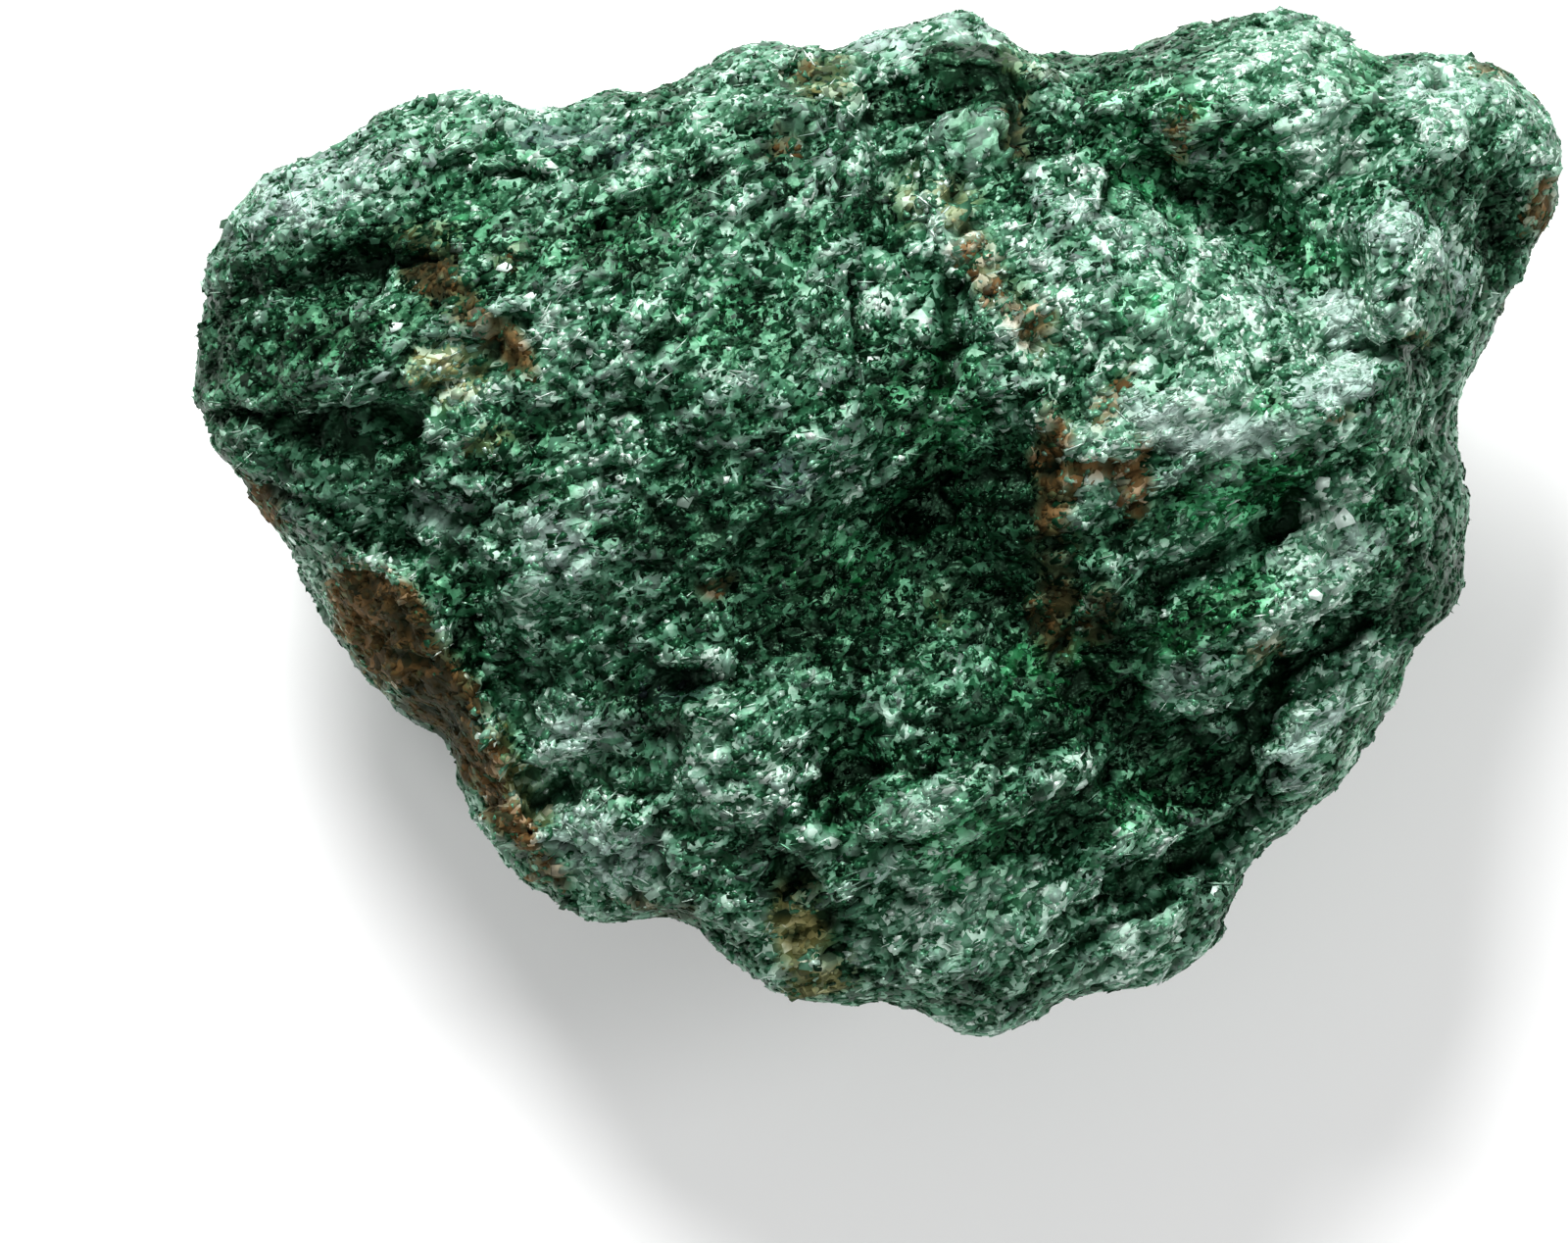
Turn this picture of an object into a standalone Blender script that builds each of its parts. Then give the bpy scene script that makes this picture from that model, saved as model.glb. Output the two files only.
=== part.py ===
"""Raw fuchsite: a hand-sized broken lump of green mica schist, lying on its back.

The stone is one solid. Its broad face looks up, +X runs along its length and
+Y points to its high, knuckled edge. All tables are in millimetres, measured
from a point near the middle of the face; heights are above the resting face.
"""
import math

import bmesh
import bpy
import numpy as np

# Real sizes
MM = 0.001
LENGTH = 87.4
WIDTH = 65.8
THICKNESS = 40.0
FACE_LEVEL = 36.0
RIM_LEVEL = 18.0
UNDERSIDE_LEVEL = -3.0

# How full the body is: 2 is an ellipsoid, more is squarer
FULLNESS = 2.2
# Away from the widest line the outline is evened out over this angle on each
# side, in steps; lifts are shares of the way from that line to the middle
EVEN_ANGLE = 0.255
EVEN_STEPS = 3
EVEN_WEIGHT_STEPS = 2.0
EVEN_LIFT = (0.05, 0.6)
RELIEF_LIFT = (0.0, 0.7)
BREAK_LIFT = (0.05, 0.45)
# Share of the rough surface that moves the widest line sideways
RIM_SHARE = 0.3
RIM_SHARE_LIFT = (0.0, 0.35)

# Edges of the forms: falling off of a swell, run of a ledge's edge, and how
# grooves and ledges fade out past their ends
SWELL_FALL = 0.9
GROOVE_SHARPNESS = 1.5
GROOVE_FADE = 1.2
LEDGE_EDGE = 0.9
LEDGE_FADE = 1.6
RISE_NARROWNESS = 9.0

# Roughness of the broken surface
NOISE_GAIN = 1.7
SWELL_CELL = 13.0
SWELL_HEIGHT = 1.5
KNOB_CELL = 5.5
KNOB_HEIGHT = 0.85
LAYER_PITCH = 2.6
LAYER_HEIGHT = 0.45
LAYER_NORMAL = (-0.40, 0.86, 0.32)
LAYER_WARP = 2.4
LAYER_EDGE = 0.62

# Mesh fineness and the distances below which two points are one
SPHERE_STEPS = 7
VOXEL = 0.62
TRIANGLES = 9500
CUT_DISTANCE = 1e-5
MERGE_DISTANCE = 1e-4

SEED = 53

# Widest line of the stone seen from above, clockwise from its left end
OUTLINE = (
    (-42.8, 10.9), (-42.5, 15.8), (-41.3, 18.8), (-39.6, 21.3), (-37.5, 23.2),
    (-35.4, 23.6), (-33.4, 24.8), (-31.3, 26.5), (-29.3, 27.3), (-26.7, 27.9),
    (-24.7, 27.8), (-23.3, 27.0), (-19.3, 27.3), (-15.8, 28.1), (-14.3, 27.8),
    (-11.3, 29.3), (-7.3, 31.1), (-1.9, 31.1), (2.6, 32.1), (5.8, 33.1),
    (7.2, 33.1), (9.1, 32.0), (13.0, 30.9), (17.5, 31.3), (22.1, 32.7),
    (26.2, 33.4), (30.3, 32.3), (33.0, 30.6), (35.8, 31.1), (39.9, 30.5),
    (42.8, 28.8), (44.3, 26.7), (44.6, 22.1), (44.5, 20.1), (42.8, 17.6),
    (41.5, 14.1), (39.3, 9.7), (38.8, 6.5), (39.4, 1.1), (38.9, -3.5),
    (38.2, -5.1), (35.5, -7.6), (34.2, -10.3), (32.0, -13.8), (30.6, -16.4),
    (27.6, -19.1), (25.3, -21.8), (22.6, -26.6), (19.9, -28.6), (15.8, -29.6),
    (13.4, -29.9), (11.0, -31.4), (7.1, -32.4), (3.3, -30.8), (-1.9, -30.1),
    (-4.9, -29.1), (-8.9, -26.3), (-12.2, -24.8), (-16.3, -25.6), (-19.4, -24.1),
    (-22.9, -21.4), (-25.6, -17.9), (-26.8, -13.9), (-27.5, -12.5), (-30.9, -9.9),
    (-33.8, -6.4), (-36.9, -1.0), (-38.6, 0.7), (-41.7, 5.3), (-42.5, 7.3),
)

# Swells and hollows of the face: x, y, half length, half width, turn in
# degrees, height, and how flat the top is (1 is a round hill)
FACE_FORMS = (
    # The plateau on the right, its back corner and the high front of it
    (20.8, 10.4, 12.0, 6.6, -16.0, 4.8, 1.7),
    (11.6, 17.6, 6.0, 4.5, -30.0, 2.6, 1.6),
    (23.4, 6.9, 8.0, 3.0, -2.0, 3.4, 1.8),
    (15.2, 7.4, 4.0, 2.8, 12.0, 2.0, 1.4),
    (29.6, 10.6, 3.4, 3.0, 0.0, 1.8, 1.4),
    (24.6, 9.6, 2.6, 1.8, 0.0, -1.0, 1.2),
    # The knuckle at the plateau's right end
    (34.2, 15.9, 4.0, 4.8, 10.0, 7.4, 1.7),
    # The two domes of the upper right lobe and the lobe left of them
    (27.0, 28.6, 6.6, 4.4, 0.0, 4.8, 1.7),
    (38.0, 25.6, 5.4, 5.0, -15.0, 4.8, 1.7),
    (16.2, 28.3, 5.6, 3.0, 0.0, 2.4, 1.3),
    # The right flank
    (34.6, 2.5, 4.6, 9.5, -5.0, 4.5, 1.6),
    # The broad left face, its bulge and its shoulder
    (-10.2, 13.6, 15.0, 9.0, 0.0, 2.4, 1.5),
    (-32.0, 11.4, 7.0, 3.6, 8.0, 1.6, 1.3),
    (-33.0, 21.4, 8.6, 3.0, 22.0, 2.8, 1.4),
    (-19.0, -1.2, 4.4, 4.8, 0.0, 1.4, 1.2),
    (-17.5, -12.5, 5.0, 4.0, 10.0, 1.4, 1.2),
    # The lower lobe and the lumps along its edge
    (-7.8, -15.0, 4.6, 6.2, 8.0, 2.8, 1.3),
    (5.0, -17.2, 7.5, 4.0, 20.0, 2.4, 1.3),
    (-15.6, -20.8, 6.2, 3.8, -18.0, 2.8, 1.6),
    (8.1, -26.2, 6.0, 4.2, 10.0, 2.2, 1.4),
    (18.8, -26.0, 5.6, 3.0, 22.0, 3.0, 1.5),
    (29.6, -12.2, 7.6, 2.9, 52.0, 4.4, 1.6),
    # Folds between the diagonal valleys
    (27.6, -3.0, 4.8, 2.6, 32.0, 2.8, 1.3),
    (24.4, -9.2, 5.0, 2.0, 36.0, 1.6, 1.3),
    # Cap, ledge block and small block at the top
    (2.5, 30.0, 2.4, 1.5, 10.0, 2.0, 1.4),
    (7.0, 30.6, 3.6, 1.6, -8.0, 2.4, 1.5),
    (7.6, 24.8, 3.2, 2.0, -14.0, 1.6, 1.8),
    # Broad valley from the middle of the face down to the lower right, steep
    # on its upper side
    (4.8, -2.4, 7.5, 4.6, -8.0, -4.4, 1.4),
    (12.6, -8.2, 7.4, 3.8, -42.0, -4.8, 1.4),
    (19.8, -15.2, 5.6, 3.0, -42.0, -3.4, 1.3),
    (-4.6, -4.6, 5.0, 3.4, 0.0, -1.8, 1.2),
    (6.4, 2.2, 5.0, 3.0, 0.0, -1.6, 1.2),
    # Hollows between the plateau and the upper right lobe
    (18.6, 22.6, 5.2, 2.5, -18.0, -5.4, 1.3),
    (25.0, 19.3, 5.0, 2.2, -26.0, -5.2, 1.3),
    (31.0, 20.8, 2.6, 1.6, 20.0, -1.6, 1.2),
    # The low ground right of the knuckle
    (40.6, 18.2, 3.0, 6.0, 12.0, -6.0, 1.3),
    # Recesses below the blocks at the top
    (2.2, 26.8, 1.5, 2.4, -24.0, -1.8, 1.1),
    (7.4, 28.0, 4.0, 1.1, -10.0, -1.0, 1.1),
    # Pockets of the left end, of the foot of the stone and of its folds
    (-31.2, 16.8, 3.0, 1.2, 15.0, -0.8, 1.1),
    (-4.8, -21.8, 1.1, 1.1, 0.0, -2.6, 1.2),
    (11.9, -19.6, 4.2, 1.9, 22.0, -2.2, 1.2),
    (21.0, 1.6, 7.0, 2.2, 12.0, -1.2, 1.2),
)

# Valleys and cracks of the face: half width, depth, points from end to end
FACE_GROOVES = (
    # Crease between the two domes
    (1.4, 1.6, ((32.6, 32.0), (33.4, 27.6), (31.6, 23.6))),
    # Undercut band and deep crack of the left end
    (1.5, 1.4, ((-44.0, 14.4), (-36.2, 15.6), (-29.2, 17.6), (-23.0, 20.4))),
    (1.2, 4.0, ((-43.0, 7.2), (-37.5, 6.4), (-32.0, 5.4), (-29.0, 6.2))),
    # The trough from the top recess down to the middle
    (3.0, 2.6, ((2.4, 22.5), (3.3, 17.1), (4.4, 8.8), (4.4, 1.2))),
    # Cleft round the small block at the top
    (1.0, 1.5, ((1.4, 28.6), (2.4, 26.0), (4.4, 27.0), (8.4, 28.4), (10.6, 27.0), (11.0, 23.6))),
    # Upright cracks beside the trough
    (0.8, 1.6, ((-0.6, 16.8), (-0.2, 11.4))),
    (0.8, 1.8, ((5.0, 16.2), (5.0, 8.8))),
    # Diagonal valleys that rise to the right
    (1.8, 2.2, ((17.6, -3.8), (23.9, -0.8), (27.4, 1.4))),
    (1.5, 3.2, ((23.4, -15.6), (25.4, -10.6), (32.0, -5.2))),
    (1.1, 3.0, ((12.6, -25.0), (18.8, -22.0), (24.4, -19.0), (26.4, -15.4))),
    (1.0, 2.2, ((10.6, -29.6), (14.2, -25.8), (19.6, -23.0))),
    # Gap under the knuckle
    (0.8, 1.6, ((31.2, 11.4), (33.6, 10.9), (36.4, 11.0))),
    # Creases of the lower lobe
    (1.3, 2.0, ((-2.2, -16.6), (0.4, -14.6), (6.4, -14.4), (13.0, -13.2))),
    (1.4, 2.2, ((-0.6, -12.0), (-1.4, -19.0))),
    (1.2, 2.2, ((-16.8, -10.8), (-11.2, -9.2), (-7.4, -9.6))),
    (0.9, 1.1, ((-22.0, -17.2), (-18.2, -16.2), (-13.6, -16.8))),
    # Creases of the left face
    (1.2, 1.8, ((-17.4, 18.6), (-11.2, 21.6), (-6.0, 24.3))),
    (1.1, 1.4, ((-27.0, 22.6), (-22.4, 22.0), (-17.0, 24.4))),
    (1.2, 1.6, ((-27.8, 12.8), (-24.4, 10.6), (-21.4, 12.6))),
)

# Ledges of the face: height of the step, how far the low ground reaches, and
# points with the low side on the right hand
FACE_LEDGES = (
    # Rim of the plateau, from its back corner round to the knuckle
    (3.8, 7.5, ((31.8, 9.4), (28.4, 8.0), (26.4, 4.6), (22.1, 4.0), (17.6, 4.8), (13.4, 5.4),
                (10.9, 8.8), (9.8, 13.1), (7.6, 16.9), (6.0, 20.3))),
    # Left face along the trough
    (1.6, 4.0, ((0.2, 14.0), (0.4, 22.0), (-0.2, 29.5))),
    # Brow below the left shoulder
    (1.9, 6.0, ((-21.0, 21.6), (-29.0, 19.4), (-36.0, 17.6), (-42.0, 16.8))),
    # Slabs of the left end
    (2.2, 3.6, ((-26.5, 7.2), (-32.5, 6.4), (-38.0, 7.4), (-43.5, 8.2))),
    (2.4, 3.0, ((-30.6, -1.0), (-34.4, 0.8), (-38.2, 2.4))),
    # Crest above the slanted, stained side at the lower left
    (3.6, 9.0, ((-19.0, -24.4), (-21.2, -18.8), (-22.8, -15.0), (-24.2, -10.8), (-26.2, -8.6),
                (-27.0, -5.2), (-29.6, -2.9), (-32.0, -1.4))),
    # Ripples of the left face
    (1.1, 2.4, ((-23.0, -1.4), (-25.6, 0.2), (-28.6, 0.2))),
    (1.6, 3.4, ((-11.0, -9.6), (-14.6, -10.4), (-18.4, -7.6))),
    (1.0, 2.6, ((-12.0, 3.4), (-17.0, 5.6), (-22.4, 4.4))),
)

# Flat breaks of the underside: outward direction and distance from the middle
# of the body
UNDERSIDE_BREAKS = (
    ((0.72, -0.18, -0.67), 26.6),
    ((-0.58, 0.30, -0.76), 27.4),
    ((0.16, 0.78, -0.61), 25.4),
    ((-0.34, -0.70, -0.63), 22.6),
    ((0.40, -0.66, -0.64), 25.4),
    ((0.62, 0.50, -0.60), 32.6),
    ((-0.20, 0.10, -0.97), 18.9),
)

# Where the widest line rides high or low: direction in degrees, rise
RIM_RISES = (
    (25.0, 2.4),
    (80.0, -1.8),
    (150.0, 2.1),
    (205.0, -2.4),
    (262.0, 1.2),
    (318.0, -1.2),
)


def clear_scene():
    """Remove every object that the file starts with."""
    for thing in list(bpy.data.objects):
        bpy.data.objects.remove(thing, do_unlink=True)


def smooth_step(low, high, value):
    """Rise from 0 at low to 1 at high without a corner."""
    share = np.clip((value - low) / (high - low), 0.0, 1.0)
    return share * share * (3.0 - 2.0 * share)


def gradient_noise(points, cell, seed):
    """Smooth noise of about -1 to 1 whose bumps are about one cell wide."""
    random = np.random.default_rng(seed)
    table = random.permutation(256)
    slopes = random.normal(size=(256, 3))
    slopes /= np.linalg.norm(slopes, axis=1, keepdims=True)
    grid = points / cell
    base = np.floor(grid).astype(int)
    offset = grid - base
    fade = offset ** 3 * (offset * (offset * 6.0 - 15.0) + 10.0)
    total = np.zeros(len(points))
    for corner in np.ndindex(2, 2, 2):
        corner = np.array(corner)
        index = (base + corner) & 255
        key = table[(table[(table[index[:, 0]] + index[:, 1]) & 255] + index[:, 2]) & 255]
        weight = np.prod(np.where(corner == 1, fade, 1.0 - fade), axis=1)
        total += weight * np.sum(slopes[key] * (offset - corner), axis=1)
    return total * NOISE_GAIN


def outline_radius(angles):
    """Distance from the middle to the widest line in each direction."""
    points = np.array(OUTLINE)
    turns = np.arctan2(points[:, 1], points[:, 0])
    reach = np.hypot(points[:, 0], points[:, 1])
    order = np.argsort(turns)
    turns = turns[order]
    reach = reach[order]
    count = len(turns)
    turns = np.concatenate([turns - 2.0 * math.pi, turns, turns + 2.0 * math.pi])
    reach = np.tile(reach, 3)
    slope = (np.roll(reach, -1) - np.roll(reach, 1)) / (np.roll(turns, -1) - np.roll(turns, 1))
    last = np.clip(np.searchsorted(turns, angles), count - 1, 2 * count + 1)
    first = last - 1
    gap = turns[last] - turns[first]
    t = (angles - turns[first]) / gap
    rise = (2.0 * t ** 3 - 3.0 * t ** 2 + 1.0) * reach[first]
    rise += (t ** 3 - 2.0 * t ** 2 + t) * gap * slope[first]
    rise += (3.0 * t ** 2 - 2.0 * t ** 3) * reach[last]
    rise += (t ** 3 - t ** 2) * gap * slope[last]
    return rise


def even_radius(angles):
    """The same distance without the small bays and noses of the outline."""
    total = np.zeros(len(angles))
    shares = 0.0
    for step in range(-EVEN_STEPS, EVEN_STEPS + 1):
        share = math.exp(-(step / EVEN_WEIGHT_STEPS) ** 2)
        turned = angles + step * EVEN_ANGLE / EVEN_STEPS
        total += share * outline_radius((turned + math.pi) % (2.0 * math.pi) - math.pi)
        shares += share
    return total / shares


def rim_level(angles):
    """Height of the widest line in each direction."""
    level = np.full(len(angles), RIM_LEVEL)
    for direction, rise in RIM_RISES:
        apart = np.cos(angles - math.radians(direction))
        level += rise * np.exp((apart - 1.0) * RISE_NARROWNESS)
    return level


def form_height(x, y, form):
    """Height of one swell or hollow at the given places."""
    centre_x, centre_y, half_length, half_width, turn, height, flatness = form
    cosine = math.cos(math.radians(turn))
    sine = math.sin(math.radians(turn))
    along = (x - centre_x) * cosine + (y - centre_y) * sine
    across = (y - centre_y) * cosine - (x - centre_x) * sine
    distance = (along / half_length) ** 2 + (across / half_width) ** 2
    return height * np.exp(-SWELL_FALL * distance ** flatness)


def beside_line(x, y, line):
    """Distance to a line of points, its side (left is 1) and how far past an end."""
    nearest = np.full(x.shape, np.inf)
    side = np.zeros(x.shape)
    past = np.zeros(x.shape)
    last = len(line) - 2
    for index, ((x0, y0), (x1, y1)) in enumerate(zip(line, line[1:])):
        run_x = x1 - x0
        run_y = y1 - y0
        length = math.hypot(run_x, run_y)
        share = ((x - x0) * run_x + (y - y0) * run_y) / length ** 2
        inside = np.clip(share, 0.0, 1.0)
        distance = np.hypot(x - x0 - inside * run_x, y - y0 - inside * run_y)
        over = np.zeros(x.shape)
        if index == 0:
            over = np.maximum(over, -share * length)
        if index == last:
            over = np.maximum(over, (share - 1.0) * length)
        closer = distance < nearest
        nearest = np.where(closer, distance, nearest)
        side = np.where(closer, np.sign(run_x * (y - y0) - run_y * (x - x0)), side)
        past = np.where(closer, over, past)
    return nearest, side, past


def groove_height(x, y, half_width, depth, line):
    """Depth of one valley or crack, as a height below zero."""
    distance, _, past = beside_line(x, y, line)
    sharp = np.exp(-(distance / half_width) ** GROOVE_SHARPNESS)
    return -depth * sharp * np.exp(-(past / GROOVE_FADE) ** 2)


def ledge_height(x, y, step, reach, line):
    """Drop of the ground on the low side of one ledge."""
    distance, side, past = beside_line(x, y, line)
    below = np.where(side < 0.0, distance, 0.0)
    drop = smooth_step(0.0, LEDGE_EDGE, below) * np.exp(-(below / reach) ** 2)
    return -step * drop * np.exp(-(past / LEDGE_FADE) ** 2)


def face_relief(x, y):
    """Height of all forms of the face over its plain dome."""
    relief = np.zeros(x.shape)
    for form in FACE_FORMS:
        relief += form_height(x, y, form)
    for half_width, depth, line in FACE_GROOVES:
        relief += groove_height(x, y, half_width, depth, line)
    for step, reach, line in FACE_LEDGES:
        relief += ledge_height(x, y, step, reach, line)
    return relief


def body_points(sphere):
    """Carry the points of a unit sphere to the stone's plain form and relief."""
    angles = np.arctan2(sphere[:, 1], sphere[:, 0])
    flat = np.hypot(sphere[:, 0], sphere[:, 1])
    rise = np.abs(sphere[:, 2])
    above = sphere[:, 2] >= 0.0
    lift = rise ** (2.0 / FULLNESS)
    sharp = outline_radius(angles)
    even = even_radius(angles)
    radius = sharp + (even - sharp) * smooth_step(*EVEN_LIFT, lift)
    radius *= flat ** (2.0 / FULLNESS)
    x = radius * np.cos(angles)
    y = radius * np.sin(angles)
    rim = rim_level(angles)
    face = rim + (FACE_LEVEL - rim) * lift + face_relief(x, y) * smooth_step(*RELIEF_LIFT, lift)
    underside = rim + (UNDERSIDE_LEVEL - rim) * lift
    return np.column_stack([x, y, np.where(above, face, underside)]), lift, above


def cut_breaks(points, lift, above):
    """Lay the points that stand out beyond a flat break of the underside on it."""
    middle = np.array([0.0, 0.0, RIM_LEVEL])
    free = np.where(above, 0.0, smooth_step(*BREAK_LIFT, lift))
    for direction, distance in UNDERSIDE_BREAKS:
        direction = np.array(direction)
        direction /= np.linalg.norm(direction)
        over = np.maximum((points - middle) @ direction - distance, 0.0) * free
        points = points - over[:, None] * direction
    return points


def broken_surface(points):
    """Height of the rough broken surface along its normal."""
    swell = SWELL_HEIGHT * gradient_noise(points, SWELL_CELL, SEED)
    knobs = KNOB_HEIGHT * gradient_noise(points, KNOB_CELL, SEED + 1)
    normal = np.array(LAYER_NORMAL) / np.linalg.norm(LAYER_NORMAL)
    depth = points @ normal + LAYER_WARP * gradient_noise(points, SWELL_CELL, SEED + 2)
    layer = depth / LAYER_PITCH
    number = np.floor(layer).astype(int)
    share = smooth_step(LAYER_EDGE, 1.0, layer - number)
    heights = np.random.default_rng(SEED + 3).uniform(-1.0, 1.0, 256)
    steps = heights[number & 255] * (1.0 - share) + heights[(number + 1) & 255] * share
    return swell + knobs + LAYER_HEIGHT * steps


def make_body():
    """Build the closed stone, still uncut below."""
    mesh = bpy.data.meshes.new("fuchsite_stone")
    form = bmesh.new()
    bmesh.ops.create_icosphere(form, subdivisions=SPHERE_STEPS, radius=1.0)
    form.to_mesh(mesh)
    form.free()
    count = len(mesh.vertices)
    sphere = np.empty(count * 3)
    mesh.vertices.foreach_get("co", sphere)
    sphere = sphere.reshape(count, 3)
    sphere /= np.linalg.norm(sphere, axis=1, keepdims=True)
    points, lift, above = body_points(sphere)
    points = cut_breaks(points, lift, above)
    mesh.vertices.foreach_set("co", points.ravel())
    mesh.update()
    normals = np.empty(count * 3)
    mesh.vertices.foreach_get("normal", normals)
    normals = normals.reshape(count, 3)
    # The widest line nearly keeps its place: the rough surface moves it up and down
    freed = smooth_step(*RIM_SHARE_LIFT, lift)
    normals[:, :2] *= (RIM_SHARE + (1.0 - RIM_SHARE) * freed)[:, None]
    points += normals * broken_surface(points)[:, None]
    mesh.vertices.foreach_set("co", points.ravel())
    mesh.update()
    stone = bpy.data.objects.new("fuchsite_stone", mesh)
    bpy.context.scene.collection.objects.link(stone)
    return stone


def bake_modifiers(stone):
    """Replace the object's mesh by what its modifiers make of it."""
    graph = bpy.context.evaluated_depsgraph_get()
    finished = bpy.data.meshes.new_from_object(stone.evaluated_get(graph))
    stone.modifiers.clear()
    stone.data = finished


def drop_crumbs(form):
    """Remove every closed skin but the stone's own, which is the largest."""
    waiting = set(form.verts)
    skins = []
    while waiting:
        start = waiting.pop()
        skin = [start]
        for vertex in skin:
            for edge in vertex.link_edges:
                other = edge.other_vert(vertex)
                if other in waiting:
                    waiting.remove(other)
                    skin.append(other)
        skins.append(skin)
    skins.sort(key=len)
    for skin in skins[:-1]:
        bmesh.ops.delete(form, geom=skin, context="VERTS")


def even_out(stone):
    """Remesh the body evenly, then keep triangles where the form turns."""
    voxels = stone.modifiers.new("even", "REMESH")
    voxels.mode = "VOXEL"
    voxels.voxel_size = VOXEL
    bake_modifiers(stone)
    form = bmesh.new()
    form.from_mesh(stone.data)
    drop_crumbs(form)
    bmesh.ops.triangulate(form, faces=form.faces)
    form.to_mesh(stone.data)
    form.free()
    fewer = stone.modifiers.new("fewer", "DECIMATE")
    fewer.decimate_type = "COLLAPSE"
    fewer.ratio = TRIANGLES / len(stone.data.polygons)
    bake_modifiers(stone)


def cut_resting_face(stone):
    """Cut the underside flat at height zero and close it."""
    form = bmesh.new()
    form.from_mesh(stone.data)
    everything = form.verts[:] + form.edges[:] + form.faces[:]
    bmesh.ops.bisect_plane(form, geom=everything, dist=CUT_DISTANCE, plane_co=(0.0, 0.0, 0.0),
                           plane_no=(0.0, 0.0, -1.0), clear_outer=True)
    drop_crumbs(form)
    rim = [edge for edge in form.edges if edge.is_boundary]
    bmesh.ops.holes_fill(form, edges=rim)
    for vertex in form.verts:
        if abs(vertex.co.z) < MERGE_DISTANCE:
            vertex.co.z = 0.0
    bmesh.ops.dissolve_degenerate(form, dist=MERGE_DISTANCE, edges=form.edges)
    bmesh.ops.triangulate(form, faces=form.faces, ngon_method="BEAUTY")
    bmesh.ops.recalc_face_normals(form, faces=form.faces)
    form.to_mesh(stone.data)
    form.free()


def set_real_size(stone):
    """Scale to the real sizes in metres and put the origin below the middle."""
    count = len(stone.data.vertices)
    points = np.empty(count * 3)
    stone.data.vertices.foreach_get("co", points)
    points = points.reshape(count, 3)
    low = points.min(axis=0)
    high = points.max(axis=0)
    points -= np.array([(low[0] + high[0]) / 2.0, (low[1] + high[1]) / 2.0, low[2]])
    points *= np.array([LENGTH, WIDTH, THICKNESS]) / (high - low) * MM
    stone.data.vertices.foreach_set("co", points.ravel())
    stone.data.update()


def mica_green():
    """Deep green of the mica, half glossy."""
    material = bpy.data.materials.new("fuchsite_green")
    material.use_nodes = True
    shader = material.node_tree.nodes["Principled BSDF"]
    shader.inputs["Base Color"].default_value = (0.045, 0.135, 0.070, 1.0)
    shader.inputs["Roughness"].default_value = 0.45
    shader.inputs["Metallic"].default_value = 0.0
    material.diffuse_color = (0.045, 0.135, 0.070, 1.0)
    return material


def build_stone():
    """Build the one solid of the object."""
    stone = make_body()
    even_out(stone)
    cut_resting_face(stone)
    set_real_size(stone)
    stone.data.materials.clear()
    stone.data.materials.append(mica_green())
    return stone


clear_scene()
build_stone()
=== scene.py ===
"""Looks of a raw fuchsite stone: green mica schist with glinting flakes.

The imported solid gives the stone's main form. A finer skin follows it and adds
the grain, thin layers, pits and cracks of the broken rock, and thousands of
small mica flakes lie in that skin. Lengths are in millimetres, apart from
those of the studio and of the finishes, which are in metres.
"""
import logging
import math
from dataclasses import dataclass, field
from enum import Enum

import bpy
import numpy as np
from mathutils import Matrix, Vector


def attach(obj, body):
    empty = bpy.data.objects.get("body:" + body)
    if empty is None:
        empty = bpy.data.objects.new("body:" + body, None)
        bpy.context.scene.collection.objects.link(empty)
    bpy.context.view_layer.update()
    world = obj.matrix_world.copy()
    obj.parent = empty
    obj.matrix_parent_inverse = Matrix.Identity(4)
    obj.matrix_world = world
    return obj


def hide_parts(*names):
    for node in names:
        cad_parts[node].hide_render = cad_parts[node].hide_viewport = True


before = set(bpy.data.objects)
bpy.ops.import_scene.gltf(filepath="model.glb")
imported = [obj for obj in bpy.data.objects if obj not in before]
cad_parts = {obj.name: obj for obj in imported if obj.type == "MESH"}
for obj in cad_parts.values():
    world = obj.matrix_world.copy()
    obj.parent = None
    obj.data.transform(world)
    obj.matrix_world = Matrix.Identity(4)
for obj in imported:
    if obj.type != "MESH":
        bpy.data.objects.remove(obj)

MM = 0.001
NODE = "fuchsite_stone"
BODY = "root"
PHOTO_WIDTH = 1600
PHOTO_HEIGHT = 1268

# The footprint's middle, in the millimetres of the tables below
FACE_CENTRE = (0.9, 0.5)
# Direction across the stone's thin layers
LAYER_NORMAL = np.array([-0.40, 0.86, 0.32]) / np.linalg.norm([-0.40, 0.86, 0.32])

NOISE_KEYS = 256
NOISE_GAIN = 1.7
CRACK_STEEPNESS = 1.6
# A patch is whole up to the first share of its size and gone at the second
PATCH_FADE = (0.45, 1.25)
# Half size and middle of a flake's top, and of its sides, in its cell of the map
TOP_IN_CELL = ((0.24, 0.43), (0.29, 0.50))
SIDES_IN_CELL = ((0.17, 0.40), (0.78, 0.50))

# Least upward share of the outward direction at a single large flake
BROAD_FACING = 0.3

Colour = tuple[float, float, float]
Ramp = tuple[tuple[float, Colour], ...]

log = logging.getLogger("fuchsite")


class Mark(Enum):
    """Kinds of marking on the stone, by the column that holds them."""

    RUST = 0
    OCHRE = 1
    FROST = 2
    SLATE = 3
    EMERALD = 4
    # Deep green, partly painted shade
    DEEP_AND_SHADE = 5
    # Pale flakes, partly painted light
    PALE_AND_LIT = 6
    SMOOTH = 7


def smooth_step(low: float, high: float, value: np.ndarray) -> np.ndarray:
    """Rise from 0 at low to 1 at high without a corner.

    Args:
        low: Value where the rise starts.
        high: Value where the rise ends.
        value: Values to look up.

    Returns:
        Shares from 0 to 1.
    """
    share = np.clip((value - low) / (high - low), 0.0, 1.0)
    return share * share * (3.0 - 2.0 * share)


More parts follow.
